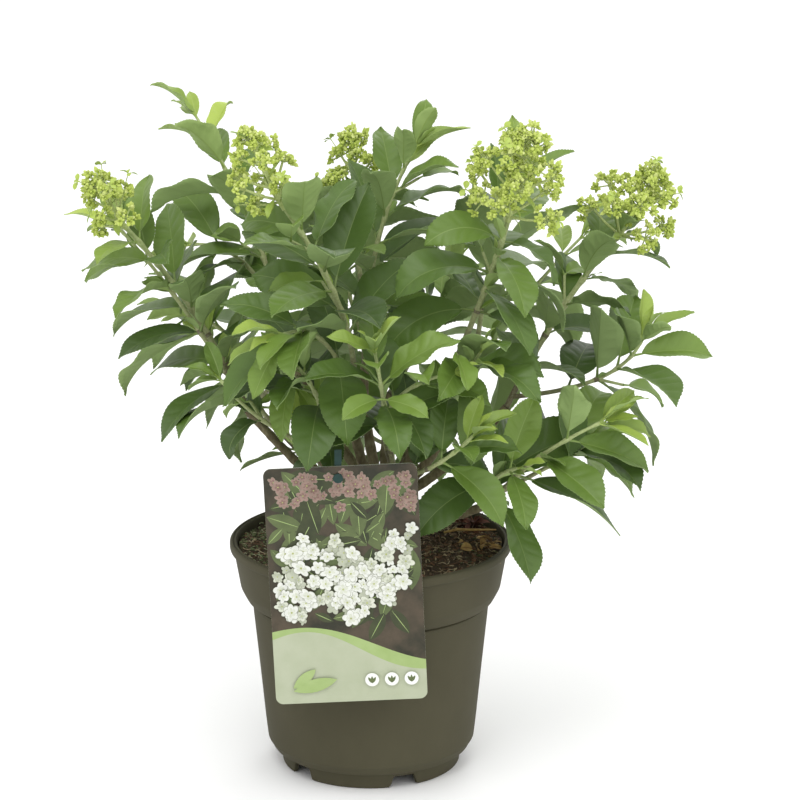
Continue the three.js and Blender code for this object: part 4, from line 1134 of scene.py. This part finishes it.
def make_pot():
    plastic = Paint("pot_plastic", 0.72, 0.14)
    cloud = plastic.noise(9, 4)
    dust = plastic.noise(55, 8, (1, 1, 0.5), 0.7)
    scuff = plastic.noise(160, 3, (1, 1, 14))
    grain = plastic.noise(1500, 2)
    base = plastic.ramp(cloud, (0.3, srgb(69, 66, 50)), (0.7, srgb(77, 74, 57)))
    dusty = plastic.ramp(dust, (0.3, srgb(64, 62, 47)), (0.75, srgb(87, 84, 66)))
    share = plastic.ramp(scuff, (0.55, (0.12,) * 3), (0.8, (0.6,) * 3))
    plastic.colour(plastic.mix(share, base, dusty))
    plastic.bump(grain, 0.12, 0.0002)
    points = rounded(POT_PROFILE, POT_CORNER)
    turns = circle(POT_SIDES)
    notches = np.array([notch_height(turn) for turn in turns])
    rings = []
    for radius, height in points:
        heights = np.full(POT_SIDES, height)
        if FOOT_INSIDE < radius < FOOT_OUTSIDE:
            heights = np.maximum(heights, notches)
        rings.append(np.stack([radius * np.cos(turns), radius * np.sin(turns), heights], axis=1))
    pot = Gathered()
    pot.add(np.concatenate(rings), grid_faces(len(points), POT_SIDES, closed=True), 0)
    piece = pot.build("pot_body", [plastic.material], 40 * DEGREE)
    drill_drains(piece)
    finish_piece(piece, "pot_plastic", "pot")


def drill_drains(piece):
    """Round holes through the pot's floor, halfway between the foot notches."""
    drills = bmesh.new()
    for i in range(NOTCHES):
        turn = FIRST_NOTCH + (i + 0.5) * 2 * pi / NOTCHES
        place = vec(DRAIN_RING * cos(turn), DRAIN_RING * sin(turn), DRAIN_HEIGHT)
        bmesh.ops.create_cone(
            drills, cap_ends=True, segments=DRAIN_SIDES, radius1=DRAIN_RADIUS * MM,
            radius2=DRAIN_RADIUS * MM, depth=DRILL_LENGTH * MM,
            matrix=Matrix.Translation(place * MM),
        )
    mesh = bpy.data.meshes.new("drain_drills")
    drills.to_mesh(mesh)
    drills.free()
    cutter = placed("drain_drills", mesh)
    cut = piece.modifiers.new("drains", "BOOLEAN")
    cut.operation = "DIFFERENCE"
    cut.solver = "EXACT"
    cut.object = cutter
    evaluated = piece.evaluated_get(bpy.context.evaluated_depsgraph_get())
    drilled = bpy.data.meshes.new_from_object(evaluated)
    piece.modifiers.clear()
    piece.data = drilled
    bpy.data.objects.remove(cutter)


def band_inside(height):
    share = (height - BAND_BOTTOM) / (BAND_TOP - BAND_BOTTOM)
    return BAND_INSIDE_LOW + (BAND_INSIDE_HIGH - BAND_INSIDE_LOW) * share


def soil_height(x, y):
    r = hypot(x, y)
    if r <= SOIL_FLAT:
        return SOIL_TOP
    reach = (r - SOIL_FLAT) / (SOIL_REACH - SOIL_FLAT)
    wave = sin(x / 13 + 1) * cos(y / 11)
    drop = (SOIL_DROP - SOIL_CRUMBS) * reach * reach
    return SOIL_TOP - drop + wave * SOIL_WAVE * min(1, reach * 3)


def soil_surface(x, y):
    broad = noise.noise(Vector((x * 0.09, y * 0.09, 2)))
    crumb = noise.noise(Vector((x * 0.32, y * 0.32, 7)))
    grain = noise.noise(Vector((x * 0.9, y * 0.9, 5)))
    return soil_height(x, y) - 0.8 + 1.2 * broad + 1.1 * crumb + 0.6 * grain


SOIL_RINGS = 74
SOIL_SIDES = 200
SOIL_MIDDLE = 0.05
SOIL_UNDERSIDE = ((86.4, 126), (78.6, 115), (40, 112), (SOIL_MIDDLE, 112))
GRAINS = 2600
CHIPS = 1500
FIBRES = 240
GRAIN_PAINTS = [
    ("grain_dark", (56, 47, 38), (76, 64, 52), 700, 0.95),
    ("grain_brown", (90, 75, 60), (116, 98, 78), 700, 0.95),
    ("grain_rust", (98, 68, 50), (128, 98, 74), 700, 0.9),
    ("grain_tan", (146, 130, 102), (178, 164, 136), 700, 0.9),
    ("moss_dark", (82, 91, 62), (106, 114, 80), 700, 0.95),
    ("moss_grey", (118, 126, 94), (146, 152, 120), 700, 0.95),
    ("moss_chaff", (140, 140, 112), (166, 164, 136), 700, 0.9),
]
LITTER_PAINTS = [
    ("leaf_dry", (176, 148, 94), (140, 108, 64), 240, 0.8),
    ("leaf_dry_under", (158, 134, 92), (120, 96, 62), 240, 0.85),
    ("leaf_dry_rib", (124, 94, 60), (98, 72, 46), 240, 0.85),
    ("leaf_dead", (74, 44, 36), (104, 64, 50), 300, 0.9),
    ("leaf_dead_under", (66, 42, 36), (92, 60, 48), 300, 0.9),
    ("leaf_dead_rib", (58, 36, 30), (80, 50, 40), 300, 0.9),
]


def make_soil():
    earth = Paint("soil", 0.95, 0.15)
    broad = earth.noise(38, 6)
    fine = earth.noise(900, 6, (1, 1, 1), 0.7)
    dark = earth.ramp(broad, (0.35, srgb(56, 47, 38)), (0.65, srgb(84, 71, 56)))
    light = earth.ramp(
        fine, (0.4, srgb(48, 40, 32)), (0.62, srgb(92, 79, 62)), (0.75, srgb(134, 121, 98)),
    )
    earth.colour(earth.mix(fine, dark, light))
    earth.bump(fine, 0.9, 0.0012)
    edge = band_inside(SOIL_TOP - SOIL_DROP - SOIL_WAVE) - 0.4
    turns = circle(SOIL_SIDES)
    rings = []
    for i in range(SOIL_RINGS + 1):
        radius = SOIL_MIDDLE + (edge - SOIL_MIDDLE) * i / SOIL_RINGS
        rings += [(x, y, soil_surface(x, y)) for x, y in around(radius, turns)]
    for radius, height in SOIL_UNDERSIDE:
        rings += [(x, y, height) for x, y in around(radius, turns)]
    soil = Gathered()
    count = SOIL_RINGS + 1 + len(SOIL_UNDERSIDE)
    soil.add(rings, grid_faces(count, SOIL_SIDES, closed=True), 0)
    finish_piece(soil.build("soil_bed", [earth.material]), "soil", "soil")
    draws = Draws(4100)
    grains = Gathered()
    scatter_grains(grains, draws, edge)
    scatter_fibres(grains, draws, edge)
    finish_piece(grains.build("soil_grains", mottled_all(*GRAIN_PAINTS)), "soil", "soil")
    make_litter()


def on_soil(draws, edge, clear=15):
    """A place on the soil, spread evenly, outside clear of the plant's foot."""
    while True:
        radius = (edge - 1.5) * sqrt(draws.next())
        turn = draws.pick(0, 2 * pi)
        x = radius * cos(turn)
        y = radius * sin(turn)
        if hypot(x - CROWN_BASE[0], y - CROWN_BASE[1]) > clear:
            return vec(x, y, soil_surface(x, y))


def is_mossy(place):
    """The soil is mossy in patches on its left side, and hardly on its right."""
    return 0.5 - place[0] / 70 + 0.8 * noise.noise(Vector(place) * 0.05) > 0.5


def scatter_grains(grains, draws, edge):
    """Round crumbs and straight chips on the soil."""
    ball, faces = bud_shape()
    for _ in range(GRAINS):
        place = on_soil(draws, edge)
        size = 0.45 + 1.5 * draws.next() ** 3
        shape = ball * vec(draws.pick(0.7, 1.3), draws.pick(0.7, 1.3), draws.pick(0.5, 0.9))
        turn = draws.pick(0, pi)
        x = cos(turn)
        y = sin(turn)
        spun = shape @ np.array([[x, y, 0], [-y, x, 0], [0, 0, 1]])
        kind = draws.next()
        paint = sum(kind >= limit for limit in (0.5, 0.82, 0.95))
        if is_mossy(place) and kind < 0.6:
            paint = 4
        grains.add(place + spun * size + vec(0, 0, size * 0.25), faces, paint)
    for _ in range(CHIPS):
        place = on_soil(draws, edge)
        length = draws.pick(1.2, 4.6)
        turn = draws.pick(0, 2 * pi)
        ahead = vec(cos(turn), sin(turn), draws.spread(0.35))
        thick = draws.pick(0.22, 0.5)
        middle = place + vec(0, 0, 0.5)
        paint = int(draws.pick(4, 6.99)) if is_mossy(place) else int(draws.pick(1, 4.4))
        bend = vec(0, 0, draws.pick(0, 0.8))
        half = ahead * length / 2
        grains.tube([middle - half, middle + bend, middle + half], [thick] * 3, 4, paint)


def scatter_fibres(grains, draws, edge):
    """Thin fibres that wander over the soil."""
    for _ in range(FIBRES):
        path = [on_soil(draws, edge, 18) + vec(0, 0, 0.5)]
        turn = draws.pick(0, 2 * pi)
        step = draws.pick(1.2, 2.8)
        rise = draws.pick(0, 0.5)
        for k in range(7):
            turn += draws.spread(0.6)
            spot = path[-1] + vec(cos(turn), sin(turn), 0) * step
            if hypot(spot[0], spot[1]) > edge - 1:
                break
            spot[2] = soil_surface(spot[0], spot[1]) + 0.6 + rise * sin(k)
            path.append(spot)
        if len(path) > 2:
            thick = draws.pick(0.14, 0.34)
            grains.tube(path, [thick] * len(path), 4, 3 if draws.next() < 0.4 else 2)


def make_litter():
    """Dry leaf bits by the rim on the right, and a withered tuft with a bare twig."""
    draws = Draws(5200)
    litter = Gathered()
    for _ in range(13):
        x = draws.pick(58, 83)
        y = draws.pick(-36, 2)
        if hypot(x, y) > 86:
            continue
        root = vec(x, y, soil_surface(x, y) + draws.pick(0.8, 2.6))
        way = unit(vec(draws.spread(1), draws.spread(1), 0.35))
        leaf = Leaf(
            root, way, draws.pick(0, 6), draws.pick(0.2, 0.7), draws.pick(7, 15),
            draws.pick(4, 8), draws.pick(10, 80) * DEGREE, draws.spread(0.8),
        )
        fine_leaf(litter, leaf, 0, draws, TINY_ROWS)
    heart = vec(70, 26, soil_surface(70, 26) + 2)
    for _ in range(26):
        way = unit(vec(draws.spread(1), draws.spread(1), draws.pick(0.1, 1.3)))
        leaf = Leaf(
            heart + way * 2, way, draws.pick(0, 6), draws.pick(0.1, 0.5), draws.pick(7, 14),
            draws.pick(2.4, 5), draws.pick(20, 110) * DEGREE, draws.spread(1),
        )
        fine_leaf(litter, leaf, 1, draws, TINY_ROWS)
    one = vec(50, 8, soil_surface(50, 8) + 3)
    two = vec(86, 14, soil_surface(86, 14) + 5)
    middle = (one + two) / 2 + vec(0, -2, 1.5)
    path = [one, (one + middle) / 2 + vec(0, 1, 1), middle, (middle + two) / 2, two]
    litter.tube(path, [0.8, 1, 0.9, 0.8, 0.5], 7, 0)
    piece = litter.build("soil_litter", mottled_all(*LITTER_PAINTS), 80 * DEGREE)
    finish_piece(piece, "soil", "soil")


# The label card: a plain generic print of white blossom over dark leaves.
CARD_CENTRE = (-15.3, 157.5)
CARD_FACE = -97.4
CARD_LEAN = 2.6 * DEGREE
CARD_WIDE, CARD_HIGH = (50, 81)
CARD_CORNER = 5
CARD_THICK = 0.7
CARD_HOLE = (-1.5, 73)
CARD_HOLE_RADIUS = 2.6
PETALS = 5
BLOSSOMS = 150
PINKS_PRINTED = 60
LEAVES_PRINTED = 130
PRINT_ROUGHNESS = 0.38
PRINT_BUMP = 0.02
PRINT_PAINTS = [
    ("print_dark", (46, 46, 34), (80, 70, 56), 55),
    ("print_leaf_dark", (52, 58, 38), (66, 72, 46), 90),
    ("print_leaf", (80, 92, 56), (96, 108, 68), 90),
    ("print_white", (206, 208, 200), (218, 220, 213), 260),
    ("print_cream", (192, 196, 178), (206, 209, 194), 260),
    ("print_shade", (162, 168, 146), (180, 184, 166), 260),
    ("print_shadow", (118, 122, 100), (140, 144, 120), 260),
    ("print_pink", (132, 108, 98), (156, 130, 120), 200),
    ("print_heart", (152, 160, 96), (168, 176, 116), 300),
    ("print_band", (146, 168, 104), (156, 176, 116), 70),
    ("print_disc", (224, 226, 220), (232, 234, 228), 70),
    ("print_rose", (114, 90, 80), (134, 108, 98), 200),
]
DARK, LEAF_DARK, LEAF, WHITE, CREAM, SHADE, SHADOW, PINK, HEART, BAND, DISC, ROSE = range(12)


def turned(x, z, turn):
    return x * cos(turn) - z * sin(turn), x * sin(turn) + z * cos(turn)


def on_card(x, z, ahead=0):
    """A place in the card's own frame, ahead in front of its face, in the part's frame."""
    across, up = turned(x, z, CARD_LEAN)
    return CARD_CENTRE[0] + across, CARD_FACE - ahead, CARD_CENTRE[1] + up


def card_outline():
    w = CARD_WIDE - CARD_CORNER
    h = CARD_HIGH - CARD_CORNER
    points = []
    for corner, (x, z) in enumerate(((w, -h), (w, h), (-w, h), (-w, -h))):
        turns = [(corner - 1) * pi / 2 + k * pi / 16 for k in range(9)]
        points += [(x + a, z + b) for a, b in around(CARD_CORNER, turns)]
    return points


def card_top(x):
    """How high the card's outline reaches at x, round its corners."""
    beyond = min(CARD_CORNER, max(0, abs(x) - (CARD_WIDE - CARD_CORNER)))
    return CARD_HIGH - CARD_CORNER + sqrt(CARD_CORNER**2 - beyond * beyond)


class Print:
    """Flat shapes laid one on another on the card's face."""

    def __init__(self):
        self.gathered = Gathered()
        self.ahead = 0.03

    def shape(self, points, paint):
        """A shape whose outline can be seen from its middle."""
        self.ahead += 0.0004
        points = [np.array(p, dtype=float) for p in points]
        middle = sum(points) / len(points)
        places = [on_card(*p, self.ahead) for p in [middle] + points]
        k = np.arange(1, len(points) + 1)
        faces = np.stack([np.zeros_like(k), k, np.roll(k, -1)], axis=1)
        self.gathered.add(places, faces, paint)

    def strip(self, low, high, paint):
        self.ahead += 0.004
        places = [on_card(*p, self.ahead) for p in low + high]
        self.gathered.add(places, grid_faces(2, len(low)), paint)

    def spot(self, x, z, radius, paint, corners=12):
        self.shape([(x + a, z + b) for a, b in around(radius, circle(corners))], paint)


def field_edge(x):
    """The wavy lower edge of the picture's field."""
    return -40 + 9 * sin((x + 50) / 100 * pi * 1.25 + 0.5) - 0.1 * x


def in_field(points):
    return all(
        abs(x) < CARD_WIDE - 0.4 and field_edge(x) + 0.3 < z < card_top(x) - 0.4
        for x, z in points
    )


def leaf_outline(x, z, length, width, turn):
    points = []
    for k in range(16):
        s = min(k, 16 - k) / 8
        side = 1 if k < 8 else -1
        off = side * width / 2 * sin(pi * s) ** 0.8
        along, aside = turned(length * s, off, turn)
        points.append((x + along, z + aside))
    return points


def print_leaves(sheet, draws):
    for _ in range(LEAVES_PRINTED):
        x = draws.spread(50)
        z = draws.pick(-40, 80)
        length = draws.pick(12, 30)
        turn = draws.pick(0, 2 * pi)
        outline = leaf_outline(x, z, length, length * 0.42, turn)
        if in_field(outline):
            sheet.shape(outline, LEAF_DARK if draws.next() < 0.62 else LEAF)
            sheet.shape(leaf_outline(x, z, length * 0.94, 0.5, turn), BAND)


def print_blossom(sheet, draws, x, z, size, paint):
    """Five round petals, each with a shaded base, and a green eye."""
    start = draws.pick(0, 2)
    squash = draws.pick(0.62, 1)
    lean = draws.pick(0, pi)
    petals = []
    for petal in range(PETALS):
        way = start + petal * 2 * pi / PETALS
        outline = []
        for turn in circle(12):
            along = size * (0.56 + 0.5 * cos(turn))
            aside = size * 0.4 * sin(turn)
            across, up = turned(along, aside, way)
            across, up = turned(across, up * squash, lean)
            outline.append(vec(x + across, z + up))
        petals.append(outline)
    if not in_field([point for outline in petals for point in outline]):
        return
    middle = vec(x, z)
    for outline in petals:
        sheet.shape([middle + (point - middle) * 1.05 for point in outline], SHADOW)
        sheet.shape(outline, paint)
        inner = ROSE if paint == PINK else min(SHADE, paint + 1)
        sheet.shape([middle + (point - middle) * 0.55 for point in outline], inner)
    sheet.spot(x, z, size * 0.12, HEART, 7)


def print_drift(sheet, draws):
    """Blossom in a drift that rises across the field, the back ones first and duller."""
    for i in range(BLOSSOMS):
        share = draws.next()
        x = -46 + 92 * share + draws.spread(6)
        z = -8 + 26 * share + 10 * sin(share * 7) + draws.spread(27) * (1 - 0.25 * share)
        late = i / BLOSSOMS
        paint = SHADE if draws.next() > late + 0.35 else CREAM if draws.next() > late + 0.1 else WHITE
        print_blossom(sheet, draws, x, z, draws.pick(4.2, 6.6) * (0.8 + 0.25 * late), paint)


def make_label():
    card_paints = mottled_all(
        ("card_ground", (166, 173, 146), (173, 179, 154), 60, 0.4, 0.03),
        ("card_edge", (214, 216, 206), (222, 224, 216), 60, 0.5, 0.03),
    )
    prints = mottled_all(*[(*row, PRINT_ROUGHNESS, PRINT_BUMP) for row in PRINT_PAINTS])
    make_board(card_paints)
    sheet = Print()
    xs = np.linspace(-49.97, 49.97, 101)
    lower = [(x, field_edge(x)) for x in xs]
    sheet.strip(lower, [(x, card_top(x) - 0.02) for x in xs], DARK)
    sheet.strip([(x, field_edge(x) - 6 - 3 * sin(x / 17)) for x in xs], lower, BAND)
    draws = Draws(6300)
    print_leaves(sheet, draws)
    for _ in range(PINKS_PRINTED):
        x = draws.spread(46)
        z = 66 + draws.spread(13) - 0.1 * x
        print_blossom(sheet, draws, x, z, draws.pick(3, 4.6), PINK)
    print_drift(sheet, draws)
    for x in (14, 27, 40):
        sheet.spot(x, -66, 4.6, DISC, 32)
        for turn in (60, 90, 120):
            sheet.shape(leaf_outline(x, -68.5, 5, 1.8, turn * DEGREE), LEAF)
    sheet.shape(leaf_outline(-38, -72, 30, 9, 14 * DEGREE), BAND)
    sheet.shape(leaf_outline(-38, -70, 20, 7, 40 * DEGREE), BAND)
    finish_piece(sheet.gathered.build("label_print", prints), "card", "label_card")


def make_board(paints):
    """The card itself: rounded corners, thin, with its hole."""
    x, z = CARD_HOLE
    outline = card_outline()
    hole = [(x + a, z + b) for a, b in around(CARD_HOLE_RADIUS, -circle(24))]
    points = outline + hole
    places = [on_card(*point, ahead) for ahead in (0, -CARD_THICK) for point in points]
    rims = [[Vector((*point, 0)) for point in rim] for rim in (outline, hole)]
    front = np.array(tessellate_polygon(rims))
    count = len(points)
    k = np.arange(count)
    on = k + 1
    on[len(outline) - 1] = 0
    on[-1] = len(outline)
    faces = [
        front,
        front[:, ::-1] + count,
        np.stack([k, k + count, on + count], axis=1),
        np.stack([k, on + count, on], axis=1),
    ]
    board = Gathered()
    board.add(places, np.concatenate(faces), np.repeat([0, 1], 2 * count))
    finish_piece(board.build("label_board", paints, 0), "card", "label_card")


def dress_holder():
    plastic = mottled("holder_plastic", srgb(22, 50, 46), srgb(30, 62, 57), 90, 0.42, 0.05)
    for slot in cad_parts["label_holder"].material_slots:
        slot.material = plastic


FLOOR_HALF = 7
WORLD_STRENGTH = 1.08


def make_stage():
    floor_mesh = bpy.data.meshes.new("floor")
    half = FLOOR_HALF
    corners = [(-half, -half, 0), (half, -half, 0), (half, half, 0), (-half, half, 0)]
    floor_mesh.from_pydata(corners, [], [(0, 1, 2, 3)])
    floor_mesh.materials.append(plain("floor", (0.95, 0.95, 0.95), 0.9, 0.1))
    floor = placed("floor", floor_mesh)
    floor.location.z = -0.0002
    world = bpy.data.worlds.new("studio")
    bpy.context.scene.world = world
    world.use_nodes = True
    background = world.node_tree.nodes["Background"]
    background.inputs["Color"].default_value = (1, 1, 1, 1)
    background.inputs["Strength"].default_value = WORLD_STRENGTH
    add_light("key", (-0.3, -1.6, 2.7), 1.6, 28)
    add_light("fill", (1.7, -1.5, 1.3), 1.6, 7)
    add_light("rim", (0.6, 2.0, 1.9), 1.2, 10)


def add_light(name, place, size, power):
    lamp = bpy.data.lights.new(name, "AREA")
    lamp.shape = "DISK"
    lamp.size = size
    lamp.energy = power
    holder = placed(name, lamp)
    holder.location = place
    aim = Vector((0, 0, 0.25)) - Vector(place)
    holder.rotation_euler = aim.to_track_quat("-Z", "Y").to_euler()


def make_camera():
    data = bpy.data.cameras.new("camera")
    data.sensor_width = SENSOR
    data.lens = SENSOR * FOCAL_PIXELS / FRAME_PIXELS
    data.clip_end = 30
    camera = placed("camera", data)
    x, y, z = CAMERA_TARGET
    camera.location = (
        x * MM,
        (y - CAMERA_DISTANCE * cos(CAMERA_PITCH)) * MM,
        (z + CAMERA_DISTANCE * sin(CAMERA_PITCH)) * MM,
    )
    camera.rotation_euler = (pi / 2 - CAMERA_PITCH, 0, 0)
    bpy.context.scene.camera = camera
    bpy.context.scene.view_settings.view_transform = "Standard"


make_camera()
make_stage()
make_pot()
make_soil()
make_label()
dress_holder()
make_wood()
grow_plant()
